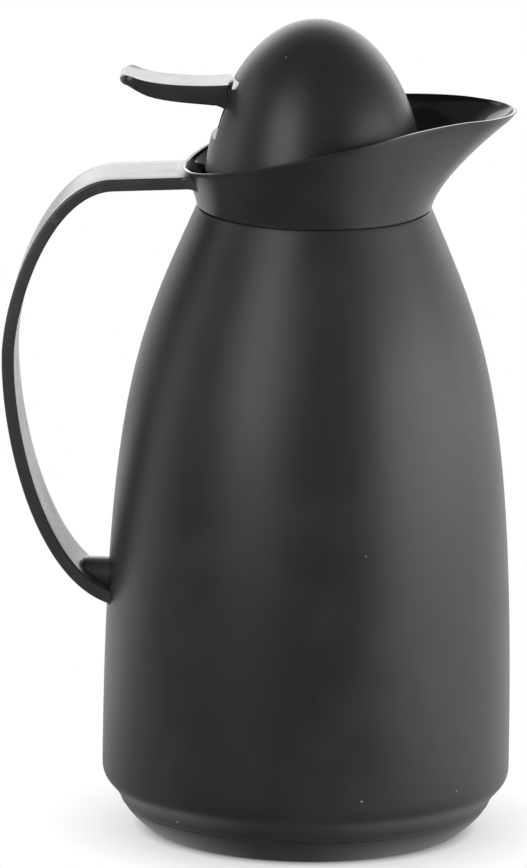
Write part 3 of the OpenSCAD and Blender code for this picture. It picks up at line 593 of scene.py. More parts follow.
rings = []
for i, (x, z) in enumerate(strap_line):
    ax, az = strap_line[max(i - 1, 0)]
    bx, bz = strap_line[min(i + 1, len(strap_line) - 1)]
    length = math.hypot(bx - ax, bz - az)
    out = (-(bz - az) / length, (bx - ax) / length)
    ring = []
    for across, height in strap_section():
        if i < ROOT_STEPS:
            ring.append(root_point(i, across, height))
        else:
            ring.append((-x - out[0] * height, across, z + out[1] * height))
    rings.append(ring)

# %% Carry the strap's foot on to the round body
foot_ring = []
for x, across, z in rings[-1]:
    low_z = z
    for _ in range(4):
        reach = -math.sqrt(skin_radius(low_z) ** 2 - across ** 2) + ROOT_DEPTH
        low_z = z - (reach - x) * FOOT_DROP
    foot_ring.append((reach, across, low_z))
rings.append(foot_ring)
strap = skinned(rings)
print("strap has", len(rings), "rings")

# %% Add the lug
LUG_W = 13.0
LUG_TOP = FOOT_Z + 10.8
LUG_OUT = 9.8
LUG_BEVEL = 1.5


def lug_ring(x, inset):
    """The lug's section at x: upright sides under a half round."""
    radius = LUG_W / 2 - inset
    middle = LUG_TOP - LUG_W / 2
    floor = FOOT_Z + (x - foot_x) * math.tan(FOOT_SLOPE)
    turns = [math.pi * i / 20 for i in range(21)]
    ring = [(-x, radius * math.cos(t), middle + radius * math.sin(t)) for t in turns]
    return ring + [(-x, -radius, floor), (-x, radius, floor)]


lug_rings = [lug_ring(foot_x + (LUG_OUT - LUG_BEVEL) * i / 4, 0.0) for i in range(5)]
for i in range(1, 6):
    t = math.pi / 2 * i / 5
    lug_rings.append(lug_ring(
        foot_x + LUG_OUT - LUG_BEVEL + LUG_BEVEL * math.sin(t), LUG_BEVEL * (1 - math.cos(t))))
handle = new_piece("strap_handle", *added(strap, skinned(lug_rings)), "jug", "satin_black")
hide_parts("handle")

# %% [markdown]
# ## The stopper's dome
# The dome hides the lever's pin and the spring. It is half an egg, turned like the shell, and
# a slot at the back lets the lever move. The slot is cut with a boolean, because it crosses
# the curved wall, and then its edges are eased.

# %% Turn the dome and cut its slot
DOME_R = 38.1
DOME_H = 63.6
DOME_Z = SEAM_Z + 1.2
DOME_EDGE = DOME_Z + 11.1
DOME_WALL = 2.0
DECK_TOP = 231.5
LEDGE_W = 3.0
LEVER_W = 20.6
LEVER_TOP = 260.9
PIN_X = 18.0
PIN_Z = 254.6
LEVER_DEPTH = 7.2
PRESSED_ANGLE = math.radians(11.5)
SLOT_TOP = LEVER_TOP + 1.2
SLOT_SIDE = 0.5
SLOT_CORNER = 0.8
DECK_FIT = 0.1
EDGE_FIT = 0.08
DOME_SOFT = 0.7
pressed_z = (PIN_Z + (LEVER_TOP - PIN_Z - LEVER_DEPTH) / math.cos(PRESSED_ANGLE)
             - (PIN_X + DOME_R) * math.tan(PRESSED_ANGLE))
slot_low = min(SEAM_Z + 24.5, pressed_z - 0.3)


def dome_arc(a, b, low, steps):
    """Half of the dome's outline from the height low to its crown."""
    start = math.asin((low - DOME_Z) / b)
    made = []
    for i in range(steps + 1):
        t = start + (math.pi / 2 - start) * i / steps
        made.append((0.0 if i == steps else a * math.cos(t), DOME_Z + b * math.sin(t)))
    return made


inner_a, inner_b = DOME_R - DOME_WALL, DOME_H - DOME_WALL
ledge_r = inner_a * math.sqrt(1 - ((DECK_TOP - DOME_Z) / inner_b) ** 2) - DECK_FIT - LEDGE_W
ledge_top = DECK_TOP + DOME_WALL
low_inside = dome_arc(inner_a, inner_b, DOME_EDGE, 6)[0]
dome_outline = softened(
    dome_arc(DOME_R, DOME_H, DOME_EDGE, 56)
    + dome_arc(inner_a, inner_b, ledge_top, 40)[::-1]
    + [(ledge_r, ledge_top), (ledge_r, DECK_TOP), (low_inside[0] - EDGE_FIT, DECK_TOP), low_inside],
    DOME_SOFT)
dome = new_piece("stopper_cover", *spun(dome_outline), "stopper", "matte_black")


def block(x_low, x_high, y_half, z_low, z_high, corner, steps=5):
    """A block along X whose four long edges are rounded."""
    middle_z, half_z = (z_low + z_high) / 2, (z_high - z_low) / 2
    ring = []
    for quarter, (sy, sz) in enumerate(((1, 1), (-1, 1), (-1, -1), (1, -1))):
        for i in range(steps + 1):
            t = math.pi / 2 * (quarter + i / steps)
            ring.append((sy * (y_half - corner) + corner * math.cos(t),
                         middle_z + sz * (half_z - corner) + corner * math.sin(t)))
    return skinned([[(x, y, z) for y, z in ring] for x in (x_low, x_high)])


slot = block(-DOME_R - 1, -10.0, LEVER_W / 2 + SLOT_SIDE, slot_low, SLOT_TOP, SLOT_CORNER)
carved(dome, new_piece("slot_cutter", *slot))
eased(dome, 0.35)
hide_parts("stopper_dome")

# %% [markdown]
# ## The thumb lever
# The lever is a broad tongue with a curled tip, where the thumb rests. Its side view is drawn
# once and repeated across its width. The outer slices shrink a little, which rounds the long
# edges, and the tip is drawn back towards the corners, which makes it round from above. The
# pocket underneath, where the rod's cap moves, is cut afterwards.

# %% Draw the lever's side view
LEVER_REACH = 66.7
TIP_RISE = 2.5
TIP_T = 3.6
PAD_TOP = 260.42
PAD_LOW = 40.0
PAD_RATE = 0.0048
PAD_END = -29.3
PAD_EDGE = 0.3
ARM_TOP = 259.5
CURL_RATE = 5.7e-4
CURL_POWER = 2.67
LOW_SLOPE = 0.058
LOW_RATE = 3.45e-6
LOW_POWER = 4.1
ARM_DEPTH = 9.5
EYE_R = 4.0
LEVER_WALL = 2.0
PIN_R = 1.58
root = DOME_R - 4.0
arm_low = LEVER_TOP - ARM_DEPTH
TIP_MID = (-LEVER_REACH + TIP_T / 2, LEVER_TOP + TIP_RISE - TIP_T / 2)
LOW_LINE = LEVER_TOP - LEVER_DEPTH


def top_height(x):
    """The pad's height at x: hollow in the middle, curled up at the tip."""
    ahead = -PAD_LOW - x
    return PAD_TOP + (CURL_RATE * ahead ** CURL_POWER if ahead > 0 else PAD_RATE * ahead ** 2)


def low_height(x):
    """The height of the underside at x, which curls up with the tip."""
    ahead = max(0.0, -root - x)
    return LOW_LINE + LOW_SLOPE * ahead + LOW_RATE * ahead ** LOW_POWER


def arc(middle, radius, degrees):
    """Points on a circle at the given degrees."""
    turns = [math.radians(a) for a in degrees]
    return [(middle[0] + radius * math.cos(t), middle[1] + radius * math.sin(t)) for t in turns]


PAD_X = (-64.0, -63.0, -61.5, -60.0, -58.0, -56.0, -54.0, -51.5, -49.0, -46.0, -43.0, -40.0,
         -37.0, -34.0, -31.5)
UNDER_X = (-37.0, -40.0, -43.0, -46.0, -49.0, -52.0, -54.5, -57.0, -59.0, -60.8, -62.4,
           -63.6, -64.5)
side_view = arc(TIP_MID, TIP_T / 2, range(240, 99, -20))
side_view += [(x, top_height(x)) for x in PAD_X]
side_view += [(PAD_END - PAD_EDGE, top_height(PAD_END)), (PAD_END, top_height(PAD_END) - PAD_EDGE),
              (PAD_END + 1.0, ARM_TOP), (-24.0, ARM_TOP), (-8.0, ARM_TOP)]
side_view += [(PIN_X - 8, ARM_TOP), (PIN_X, PIN_Z + EYE_R)]
side_view += arc((PIN_X, PIN_Z), EYE_R, range(70, -71, -20))
side_view += [(PIN_X, PIN_Z - EYE_R), (PIN_X - 8, arm_low), (-root + 6, arm_low)]
side_view += curve([
    (-root + 5, arm_low + 0.3),
    (-root + 1.2, LOW_LINE - 0.1),
    (-root + 1.0, LOW_LINE),
    (-root - 0.8, LOW_LINE),
], 8)
side_view += [(x, low_height(x)) for x in UNDER_X]
print("lever's side view has", len(side_view), "points")

# %% Repeat it across the width
LEVER_EDGE = 0.9
TIP_ROUND = 4.6
TIP_BLEND = 10.0


def inset(outline, distance):
    """A closed outline drawn inwards by a small distance."""
    made = []
    count = len(outline)
    for i, (x, z) in enumerate(outline):
        ax, az = outline[i - 1]
        bx, bz = outline[(i + 1) % count]
        length = math.hypot(bx - ax, bz - az)
        made.append((x + distance * (bz - az) / length, z - distance * (bx - ax) / length))
    return made


def lever_slice(y):
    """The side view at y, smaller near the edges, with the tip drawn back."""
    over = max(0.0, abs(y) - (LEVER_W / 2 - LEVER_EDGE))
    shrink = LEVER_EDGE - math.sqrt(max(0.0, LEVER_EDGE ** 2 - over ** 2))
    beyond = max(0.0, abs(y) - (LEVER_W / 2 - TIP_ROUND))
    draw = TIP_ROUND - math.sqrt(max(0.0, TIP_ROUND ** 2 - beyond ** 2))
    made = []
    for x, z in inset(side_view, shrink):
        near_tip = max(0.0, min(1.0, (-x - (LEVER_REACH - TIP_BLEND)) / TIP_BLEND))
        made.append((x + draw * near_tip, y, z))
    return made


edge_angles = [math.pi / 2 * i / 6 for i in range(7)]
half = [LEVER_W / 2 - LEVER_EDGE + LEVER_EDGE * math.sin(t) for t in edge_angles]
inner = [half[0] * i / 20 for i in range(20)]
across = [-y for y in reversed(half)] + [-y for y in reversed(inner[1:])] + inner + half
lever = new_piece(
    "lever_tongue", *skinned([lever_slice(y) for y in across]), "lever", "satin_black")

# %% Cut the pocket and the pin's hole
PIN_WEB = 2.5
POCKET_CORNER = 0.6
pocket_half = LEVER_W / 2 - LEVER_WALL
pocket = block(-root + 4 + LEVER_WALL, PIN_X - EYE_R - PIN_WEB, pocket_half, PIN_Z - 20,
               LEVER_TOP - LEVER_WALL, POCKET_CORNER)
carved(lever, new_piece("pocket_cutter", *pocket))
pin_hole = [[(PIN_X + x, y, PIN_Z + z) for x, z in circle(PIN_R)] for y in (-LEVER_W, LEVER_W)]
carved(lever, new_piece("pin_cutter", *skinned(pin_hole)))

# %% Add the rib that presses on the rod
RIB_R = 2.0
RIB_GAP = 0.3
rib_z = PIN_Z - EYE_R + RIB_GAP + RIB_R
rib_half = pocket_half + 0.5
rib_ring = arc((0.0, rib_z), RIB_R, range(180, 361, 15))
rib_ring += [(RIB_R, LEVER_TOP - 1.0), (-RIB_R, LEVER_TOP - 1.0)]
rib_rings = [[(x, y, z) for x, z in rib_ring] for y in (-rib_half, rib_half)]
rib = new_piece("press_rib", *skinned(rib_rings), "lever", "satin_black")
shaded(lever.data, 30.0)
for face in lever.data.polygons:
    face.use_smooth = abs(face.normal.y) < 0.999
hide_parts("thumb_lever")
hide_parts("thumb_lever")

# %% [markdown]
# ## The return spring
# A steel coil pushes the valve's rod up again when the thumb lets go. It can't keep its shape
# when the lever is pressed, because the rod's cap comes down on it. The tube follows a helix,
# one ring of points at each step.

# %% Wind the return spring
COIL_R = 6.3
WIRE_R = 0.55
COIL_TURNS = 6
COIL_STEPS = 24
WIRE_SIDES = 10
coil_low, coil_high = (corner[2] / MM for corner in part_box("return_spring"))
coil_rise = (coil_high - coil_low - 2 * WIRE_R) / (COIL_TURNS * COIL_STEPS)


def coil_ring(step):
    """The wire's section at one step of the helix."""
    angle = 2 * math.pi * step / COIL_STEPS
    middle = coil_low + WIRE_R + coil_rise * step
    return [((COIL_R + x) * math.cos(angle), (COIL_R + x) * math.sin(angle), middle + z)
            for x, z in circle(WIRE_R, WIRE_SIDES)]


coil_rings = [coil_ring(i) for i in range(COIL_TURNS * COIL_STEPS + 1)]
coil = new_piece("spring_coil", *skinned(coil_rings), "stopper", "bright_steel")
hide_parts("return_spring")
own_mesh(coil)

# %% [markdown]
# ## Effects for the plastics
# Black plastic is never one flat colour. Moulded parts have a fine grain that spreads the
# light, they are touched, and dust settles on them. Each effect is a group of shader nodes
# with named inputs and outputs, built once and placed in each material with its own values.
# The groups read the object's own coordinates, so nothing depends on where the camera is.


# %% Helpers for node groups
def new_group(name, inputs, outputs):
    """An empty shader group with its named sockets."""
    tree = bpy.data.node_groups.new(name, "ShaderNodeTree")
    for label, kind, value in inputs:
        socket = tree.interface.new_socket(name=label, in_out="INPUT", socket_type=kind)
        socket.default_value = value
    for label, kind in outputs:
        tree.interface.new_socket(name=label, in_out="OUTPUT", socket_type=kind)
    return tree, tree.nodes.new("NodeGroupInput"), tree.nodes.new("NodeGroupOutput")


def math_node(tree, operation, first, second=None, clamp=False):
    """A math node whose inputs are numbers or sockets."""
    made = tree.nodes.new("ShaderNodeMath")
    made.operation = operation
    made.use_clamp = clamp
    for place, value in ((0, first), (1, second)):
        if value is None:
            continue
        if isinstance(value, (int, float)):
            made.inputs[place].default_value = value
        else:
            tree.links.new(value, made.inputs[place])
    return made.outputs[0]


def noise(tree, scale, detail, roughness=0.5):
    """A noise over the object's own coordinates; the scale is a number or a socket."""
    place = tree.nodes.new("ShaderNodeTexCoord")
    made = tree.nodes.new("ShaderNodeTexNoise")
    made.inputs["Detail"].default_value = detail
    made.inputs["Roughness"].default_value = roughness
    tree.links.new(place.outputs["Object"], made.inputs["Vector"])
    if isinstance(scale, (int, float)):
        made.inputs["Scale"].default_value = scale
    else:
        tree.links.new(scale, made.inputs["Scale"])
    return made.outputs[0]


# %% [markdown]
# ### Moulded grain
# The mould's surface is etched, so the plastic has pits a few tenths of a millimetre wide.
# Two noises of different size give their height, and the same height varies the roughness.

# %% Build the grain group
grain_tree, g_in, g_out = new_group(
    "moulded_grain",
    [("Scale", "NodeSocketFloat", 2600.0), ("Roughness", "NodeSocketFloat", 0.5),
     ("Spread", "NodeSocketFloat", 0.1)],
    [("Height", "NodeSocketFloat"), ("Roughness", "NodeSocketFloat")])
fine = noise(grain_tree, g_in.outputs["Scale"], 3.0, 0.6)
coarse_scale = math_node(grain_tree, "MULTIPLY", g_in.outputs["Scale"], 0.31)
coarse = noise(grain_tree, coarse_scale, 1.0)
height = math_node(grain_tree, "ADD", math_node(grain_tree, "MULTIPLY", fine, 0.65),
                   math_node(grain_tree, "MULTIPLY", coarse, 0.35))
swing = math_node(grain_tree, "MULTIPLY", math_node(grain_tree, "SUBTRACT", height, 0.5),
                  g_in.outputs["Spread"])
grain_tree.links.new(height, g_out.inputs["Height"])
varied = math_node(grain_tree, "ADD", g_in.outputs["Roughness"], swing, clamp=True)
grain_tree.links.new(varied, g_out.inputs["Roughness"])
print("group", grain_tree.name)

# %% [markdown]
# ### Touch
# Hands polish some places and leave a film on others. A large, soft noise gives patches that
# are a little smoother or duller than the rest.

# %% Build the touch group
touch_tree, t_in, t_out = new_group(
    "touch_patches",
    [("Roughness", "NodeSocketFloat", 0.4), ("Amount", "NodeSocketFloat", 0.06)],
    [("Roughness", "NodeSocketFloat"), ("Film", "NodeSocketFloat")])
patches = noise(touch_tree, 34.0, 3.0, 0.55)
film = math_node(
    touch_tree, "MULTIPLY", math_node(touch_tree, "SUBTRACT", patches, 0.46), 4.0, clamp=True)
change = math_node(touch_tree, "MULTIPLY", math_node(touch_tree, "SUBTRACT", film, 0.5),
                   t_in.outputs["Amount"])
touch_tree.links.new(film, t_out.inputs["Film"])
touched = math_node(touch_tree, "ADD", t_in.outputs["Roughness"], change, clamp=True)
touch_tree.links.new(touched, t_out.inputs["Roughness"])
print("group", touch_tree.name)

# %% [markdown]
# ### Worn edges
# Edges rub against hands and cupboards and turn a shade lighter. The geometry's pointiness
# says where the mesh bends outwards, and a noise breaks the line up.

# %% Build the wear group
wear_tree, w_in, w_out = new_group(
    "worn_edges",
    [("Amount", "NodeSocketFloat", 0.5)],
    [("Mask", "NodeSocketFloat")])
bends = wear_tree.nodes.new("ShaderNodeNewGeometry").outputs["Pointiness"]
edge = math_node(
    wear_tree, "MULTIPLY", math_node(wear_tree, "SUBTRACT", bends, 0.53), 9.0, clamp=True)
broken = math_node(wear_tree, "MULTIPLY", edge, noise(wear_tree, 420.0, 3.0))
worn_mask = math_node(wear_tree, "MULTIPLY", broken, w_in.outputs["Amount"], clamp=True)
wear_tree.links.new(worn_mask, w_out.inputs["Mask"])
print("group", wear_tree.name)

# %% [markdown]
# ### Dust
# A few pale specks lie on any black surface. A cell texture scatters points, and only a speck
# round some of them is kept.

# %% Build the dust group
dust_tree, d_in, d_out = new_group(
    "dust_specks",
    [("Size", "NodeSocketFloat", 0.03), ("Amount", "NodeSocketFloat", 0.5)],
    [("Mask", "NodeSocketFloat")])
cells = dust_tree.nodes.new("ShaderNodeTexVoronoi")
cells.inputs["Scale"].default_value = 95.0
dust_place = dust_tree.nodes.new("ShaderNodeTexCoord")
dust_tree.links.new(dust_place.outputs["Object"], cells.inputs["Vector"])
speck = math_node(dust_tree, "LESS_THAN", cells.outputs["Distance"], d_in.outputs["Size"])
split = dust_tree.nodes.new("ShaderNodeSeparateColor")
dust_tree.links.new(cells.outputs["Color"], split.inputs[0])
kept = math_node(dust_tree, "LESS_THAN", split.outputs[0], d_in.outputs["Amount"])
dust_tree.links.new(math_node(dust_tree, "MULTIPLY", speck, kept), d_out.inputs["Mask"])
print("group", dust_tree.name)

# %% [markdown]
# ## Plastics
# Each plastic is one Principled shader with the groups before it. The body is satin with a
# clear grain, the handle and lever are smoother because they are held, and the inside of the
# collar is polished so that it rinses clean. The handle and lever are also a lighter grey than
# the collar's satin. This is painted light, standing in for the light on their tops.


# %% Make the plastics
def mixed(tree, amount, first, second):
    """A colour mix whose ends are colours or sockets."""
    made = tree.nodes.new("ShaderNodeMix")
    made.data_type = "RGBA"
    tree.links.new(amount, made.inputs[0])
    for place, value in ((6, first), (7, second)):
        if isinstance(value, tuple):
            made.inputs[place].default_value = (*value, 1.0)
        else:
            tree.links.new(value, made.inputs[place])
    return made.outputs[2]


WORN = (0.10, 0.10, 0.102)
DUST = (0.5, 0.49, 0.47)


def plastic(name, colour, roughness, grain, depth, spread=0.12, touched=0.05, wear=0.5, dust=0.15):
    """A moulded plastic with grain, touch, wear and dust."""
    material = bpy.data.materials.new(name)
    material.use_nodes = True
    tree = material.node_tree
    shader = tree.nodes["Principled BSDF"]
    used = {}
    for label, group in (("grain", grain_tree), ("touch", touch_tree), ("wear", wear_tree),
                         ("dust", dust_tree)):
        used[label] = tree.nodes.new("ShaderNodeGroup")
        used[label].node_tree = group
    used["touch"].inputs["Roughness"].default_value = roughness
    used["touch"].inputs["Amount"].default_value = touched
    used["grain"].inputs["Scale"].default_value = grain
    used["grain"].inputs["Spread"].default_value = spread
    tree.links.new(used["touch"].outputs["Roughness"], used["grain"].inputs["Roughness"])
    used["wear"].inputs["Amount"].default_value = wear
    used["dust"].inputs["Amount"].default_value = dust
    lighter = tuple(min(1.0, v * 1.35 + 0.002) for v in colour)
    filmed = mixed(tree, used["touch"].outputs["Film"], colour, lighter)
    rubbed = mixed(tree, used["wear"].outputs["Mask"], filmed, WORN)
    dusted = mixed(tree, used["dust"].outputs["Mask"], rubbed, DUST)
    tree.links.new(dusted, shader.inputs["Base Color"])
    tree.links.new(used["grain"].outputs["Roughness"], shader.inputs["Roughness"])
    bump = tree.nodes.new("ShaderNodeBump")
    bump.inputs["Distance"].default_value = depth * MM
    bump.inputs["Strength"].default_value = 1.0
    tree.links.new(used["grain"].outputs["Height"], bump.inputs["Height"])
    tree.links.new(bump.outputs["Normal"], shader.inputs["Normal"])
    print("plastic", name)
    return material


SATIN = (0.017, 0.017, 0.0172)
POLISHED = (0.008, 0.008, 0.0082)
# Painted light: lighter copies of the satin black, which brighten the strap and the lever.
STRAP_PAINTED_LIGHT_GREY = (0.045, 0.045, 0.0455)
LEVER_PAINTED_LIGHT_GREY = (0.028, 0.028, 0.0283)
INNER = (0.014, 0.014, 0.014)
body_plastic = plastic("body_plastic", SATIN, 0.42, 2400.0, 0.02)
dome_plastic = plastic("dome_plastic", SATIN, 0.40, 2400.0, 0.018)
strap_plastic = plastic("strap_plastic", STRAP_PAINTED_LIGHT_GREY, 0.30, 3000.0, 0.008, touched=0.08, wear=0.8)
lever_plastic = plastic("lever_plastic", LEVER_PAINTED_LIGHT_GREY, 0.28, 3000.0, 0.008, touched=0.08, wear=0.8)
collar_plastic = plastic("collar_plastic", SATIN, 0.34, 2800.0, 0.012)
polished_plastic = plastic(
    "polished_plastic", POLISHED, 0.10, 900.0, 0.004, spread=0.03, touched=0.04, dust=0.05)
inner_plastic = plastic("inner_plastic", INNER, 0.45, 2000.0, 0.015, touched=0.02, dust=0.05)

# %% [markdown]
# ## Glass, foam, rubber and steel
# The liner is silvered glass, so it is a mirror with a slight ripple from blowing. Foam is
# matt and pitted, silicone rubber is pale and waxy, and the drawn steel of rod, pin and
# spring has fine lines along its length.


# %% Make the other materials
def grained(name, colour, second, roughness, scale, depth, metallic=0.0,
            stretch=(1.0, 1.0, 1.0), spread=0.1):
    """A material with two shades mixed by a noise, and a fine bump."""
    material = bpy.data.materials.new(name)
    material.use_nodes = True
    tree = material.node_tree
    shader = tree.nodes["Principled BSDF"]
    shader.inputs["Metallic"].default_value = metallic
    group = tree.nodes.new("ShaderNodeGroup")
    group.node_tree = grain_tree
    group.inputs["Scale"].default_value = scale
    group.inputs["Roughness"].default_value = roughness
    group.inputs["Spread"].default_value = spread
    place = tree.nodes.new("ShaderNodeTexCoord")
    stretched = tree.nodes.new("ShaderNodeMapping")
    stretched.inputs["Scale"].default_value = stretch
    shade = tree.nodes.new("ShaderNodeTexNoise")
    shade.inputs["Scale"].default_value = scale * 0.4
    tree.links.new(place.outputs["Object"], stretched.inputs["Vector"])
    tree.links.new(stretched.outputs["Vector"], shade.inputs["Vector"])
    tree.links.new(mixed(tree, shade.outputs[0], colour, second), shader.inputs["Base Color"])
    tree.links.new(group.outputs["Roughness"], shader.inputs["Roughness"])
    bump = tree.nodes.new("ShaderNodeBump")
    bump.inputs["Distance"].default_value = depth * MM
    tree.links.new(shade.outputs[0], bump.inputs["Height"])
    tree.links.new(bump.outputs["Normal"], shader.inputs["Normal"])
    print("material", name)
    return material


silvered = grained("silvered_glass", (0.80, 0.82, 0.83), (0.88, 0.89, 0.90), 0.05, 60.0, 0.02,
                   metallic=1.0, spread=0.02)
foam = grained("grey_foam", (0.10, 0.10, 0.10), (0.17, 0.17, 0.17), 0.9, 1500.0, 0.2)
rubber = grained("silicone_rubber", (0.52, 0.52, 0.50), (0.60, 0.60, 0.58), 0.42, 900.0, 0.02)
steel = grained("drawn_steel", (0.55, 0.56, 0.57), (0.66, 0.67, 0.68), 0.26, 2500.0, 0.004,
                metallic=1.0, stretch=(1.0, 1.0, 0.05))

# %% Give every piece and part its material
dressed = {
    shell: body_plastic, cap: body_plastic, handle: strap_plastic, dome: dome_plastic,
    lever: lever_plastic, rib: inner_plastic, coil: steel,
}
for piece, material in dressed.items():
    piece.data.materials.clear()
    piece.data.materials.append(material)
collar.data.materials.append(collar_plastic)
collar.data.materials.append(polished_plastic)

part_materials = {
    "inner_black": inner_plastic, "silvered_glass": silvered, "grey_foam": foam,
    "clear_rubber": rubber, "bright_steel": steel, "matte_black": body_plastic,
    "satin_black": strap_plastic,
}
wanted = {row["node"]: row["material_slot"] for row in frame["record"]["subparts"]}
for name, part in nodes.items():
    for place in part.material_slots:
        place.material = part_materials[wanted[name]]
    part.data.polygons.foreach_set("use_smooth", [True] * len(part.data.polygons))
    print("dressed", name, "in", wanted[name])

# %% [markdown]
# ## Table and light
# The picture has a white background and a soft shadow under the foot. The floor is pale, and
# the camera sees it mixed with plain white, most of all away from the jug, so only the shadow
# is left. Large soft boxes stand right, left and behind, because black plastic shows hardly
# more than what it mirrors.

# %% Build the floor
FLOOR_HALF = 3000.0
FLOOR_DROP = 0.05
corners = [(FLOOR_HALF * x, FLOOR_HALF * y, -FLOOR_DROP)
           for x, y in ((-1, -1), (1, -1), (1, 1), (-1, 1))]
floor = new_piece("floor", corners, [(0, 1, 2, 3)])

# %% [markdown]
# ### What the floor shows and what the jug mirrors
# The camera sees the paper as white, apart from the shadow round the foot. The jug mirrors the
# paper too. Mirror rays see a darker paper in a wedge in front of it, which is painted shade that
# keeps the lower body from turning grey. Elsewhere the paper glows for mirror rays only, most of
# all round the foot, which is painted reflection. Both depend only on the place on the floor and
# on the kind of ray.

# %% Measure places on the floor
PAPER = 0.82
# Painted shade: the grey that mirror rays see on the paper inside the wedge in front of the jug.
PAINTED_SHADE_GREY = 0.18
SHADE_WEDGE_RIGHT = math.radians(42)
SHADE_WEDGE_LEFT = math.radians(-100)
SHADE_WEDGE_SOFT = 0.24
# Painted reflection: the paper glows for mirror rays only, outside the wedge and more strongly
# round the foot.
FOOT_RIGHT = math.radians(14)
FOOT_LEFT = math.radians(-26)
FOOT_SOFT = 0.04
FOOT_REACH = 0.078
FOOT_FADE = 0.015
FLOOR_GLOW = 0.45
FOOT_GLOW = 0.65
SHADOW_REACH = 0.088
SHADOW_FADE = 0.03
SHADOW_SHARE = 0.40
CONTACT_REACH = 0.064
CONTACT_FADE = 0.012

paper = bpy.data.materials.new("floor_paper")
paper.use_nodes = True
tree = paper.node_tree
tree.nodes.clear()
path = tree.nodes.new("ShaderNodeLightPath")
place = tree.nodes.new("ShaderNodeTexCoord")
split = tree.nodes.new("ShaderNodeSeparateXYZ")
tree.links.new(place.outputs["Object"], split.inputs[0])


def beyond(right, left, soft):
    """How far a floor point lies outside the dark wedge in front, from 0 to 1."""
    past = []
    for edge, sign in ((right, 1), (left, -1)):
        beside = math_node(tree, "MULTIPLY", split.outputs["X"], sign * math.cos(edge))
        behind = math_node(tree, "MULTIPLY", split.outputs["Y"], sign * math.sin(edge))
        past.append(math_node(tree, "ADD", beside, behind))
    return math_node(tree, "ADD", math_node(
        tree, "DIVIDE", math_node(tree, "MAXIMUM", *past), soft), 0.5, clamp=True)


spread = tree.nodes.new("ShaderNodeVectorMath")
spread.operation = "LENGTH"
tree.links.new(place.outputs["Object"], spread.inputs[0])


def within(reach, fade):
    """1 close to the jug, falling to 0 at the reach over the fade, in metres."""
    left = math_node(tree, "SUBTRACT", reach, spread.outputs["Value"])
    return math_node(tree, "MULTIPLY", left, 1 / fade, clamp=True)


# %% Shade the paper
# Painted shade: inside the wedge, mirror rays see the paper darker, while other rays see the plain
# paper.
outside_wedge = beyond(SHADE_WEDGE_RIGHT, SHADE_WEDGE_LEFT, SHADE_WEDGE_SOFT)
inside_wedge = math_node(tree, "SUBTRACT", 1.0, outside_wedge)
painted_shade = math_node(tree, "MULTIPLY", inside_wedge, path.outputs["Is Glossy Ray"])
grey = mixed(tree, painted_shade, (PAPER, PAPER, PAPER), (PAINTED_SHADE_GREY, PAINTED_SHADE_GREY, PAINTED_SHADE_GREY))
diffuse = tree.nodes.new("ShaderNodeBsdfDiffuse")
tree.links.new(grey, diffuse.inputs["Color"])
white = tree.nodes.new("ShaderNodeEmission")
white.inputs["Strength"].default_value = 1.0
# Painted reflection: a glow that only mirror rays see, so the jug's lower body mirrors light that
# no lamp gives.
foot_glow_zone = math_node(
    tree, "MULTIPLY", within(FOOT_REACH, FOOT_FADE), beyond(FOOT_RIGHT, FOOT_LEFT, FOOT_SOFT))
glow = math_node(tree, "MAXIMUM", math_node(tree, "MULTIPLY", outside_wedge, FLOOR_GLOW),
                 math_node(tree, "MULTIPLY", foot_glow_zone, FOOT_GLOW))
painted_reflection = tree.nodes.new("ShaderNodeEmission")
glossy_glow = math_node(tree, "MULTIPLY", glow, path.outputs["Is Glossy Ray"])
tree.links.new(glossy_glow, painted_reflection.inputs["Strength"])
sheet = tree.nodes.new("ShaderNodeAddShader")
tree.links.new(diffuse.outputs[0], sheet.inputs[0])
tree.links.new(painted_reflection.outputs[0], sheet.inputs[1])
near = math_node(tree, "MULTIPLY", within(SHADOW_REACH, SHADOW_FADE), SHADOW_SHARE)
shown = math_node(tree, "MAXIMUM", near, within(CONTACT_REACH, CONTACT_FADE))
not_camera = math_node(tree, "SUBTRACT", 1.0, path.outputs["Is Camera Ray"])
share = math_node(tree, "MAXIMUM", shown, not_camera)
blend = tree.nodes.new("ShaderNodeMixShader")
tree.links.new(share, blend.inputs[0])
tree.links.new(white.outputs[0], blend.inputs[1])
tree.links.new(sheet.outputs[0], blend.inputs[2])
out = tree.nodes.new("ShaderNodeOutputMaterial")
tree.links.new(blend.outputs[0], out.inputs["Surface"])
floor.data.materials.append(paper)
print("paper has", len(tree.nodes), "nodes")

# %% Hang the soft boxes
LAMP_TARGET = Vector((0.0, 0.0, 0.13))


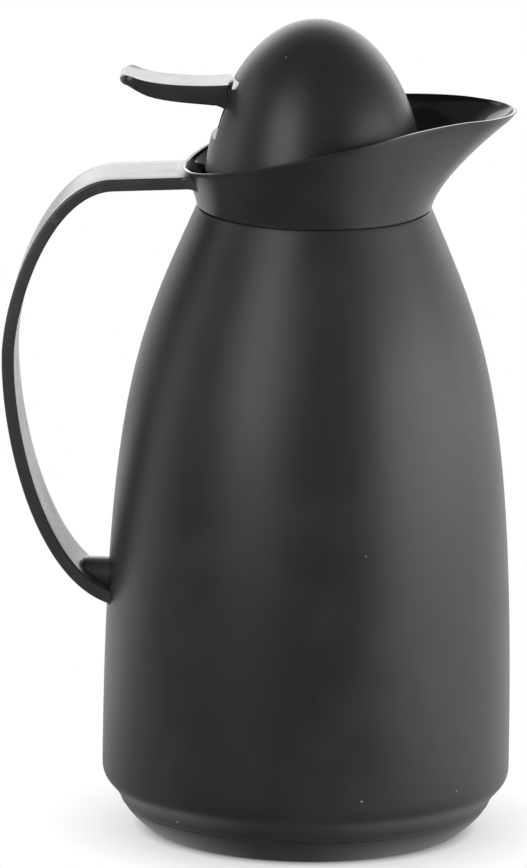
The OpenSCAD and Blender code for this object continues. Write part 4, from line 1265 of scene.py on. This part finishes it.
def soft_box(name, direction, rise, distance, width, height, radiance):
    """A soft box seen from the jug in a compass direction, with its own brightness."""
    turn, lift = math.radians(direction), math.radians(rise)
    data = bpy.data.lights.new(name, "AREA")
    data.shape = "RECTANGLE"
    data.size = width
    data.size_y = height
    data.energy = radiance * math.pi * width * height
    lamp = bpy.data.objects.new(name, data)
    scene.collection.objects.link(lamp)
    lamp.location = LAMP_TARGET + distance * Vector((
        math.sin(turn) * math.cos(lift), -math.cos(turn) * math.cos(lift), math.sin(lift)))
    lamp.rotation_euler = (lamp.location - LAMP_TARGET).to_track_quat("Z", "Y").to_euler()
    lamp.visible_camera = False
    print("soft box", name, [round(v, 2) for v in lamp.location])


soft_box("box_right", 74.0, 9.0, 1.6, 1.6, 0.85, 3.5)
soft_box("box_left_front", -35.0, 21.0, 2.0, 1.1, 1.4, 3.2)
soft_box("box_left", -100.0, 12.0, 1.5, 0.8, 1.1, 0.9)
soft_box("box_right_back", 114.0, 3.0, 1.7, 0.85, 0.60, 1.8)
soft_box("box_back", 180.0, 24.0, 1.8, 2.8, 1.4, 1.7)

# %% Light the surroundings
world = bpy.data.worlds.new("studio")
scene.world = world
world.use_nodes = True
tree = world.node_tree
tree.nodes.clear()
path = tree.nodes.new("ShaderNodeLightPath")
place = tree.nodes.new("ShaderNodeTexCoord")
split = tree.nodes.new("ShaderNodeSeparateXYZ")
tree.links.new(place.outputs["Generated"], split.inputs[0])
FRONT_DARK = 0.20
BACK_BRIGHT = 0.9
BACK_FROM = 0.15
BACK_RATE = 1.5
behind = math_node(tree, "SUBTRACT", split.outputs["Y"], BACK_FROM)
behind = math_node(tree, "MULTIPLY", behind, BACK_RATE, clamp=True)
added_light = math_node(tree, "MULTIPLY", behind, BACK_BRIGHT - FRONT_DARK)
ambient = math_node(tree, "ADD", FRONT_DARK, added_light)
strength = math_node(tree, "MAXIMUM", ambient, path.outputs["Is Camera Ray"])
sky = tree.nodes.new("ShaderNodeBackground")
sky.inputs["Color"].default_value = (1.0, 1.0, 1.0, 1.0)
tree.links.new(strength, sky.inputs["Strength"])
out = tree.nodes.new("ShaderNodeOutputWorld")
tree.links.new(sky.outputs[0], out.inputs["Surface"])
scene.view_settings.view_transform = "Standard"
print("surroundings from", FRONT_DARK, "in front to", BACK_BRIGHT, "behind")
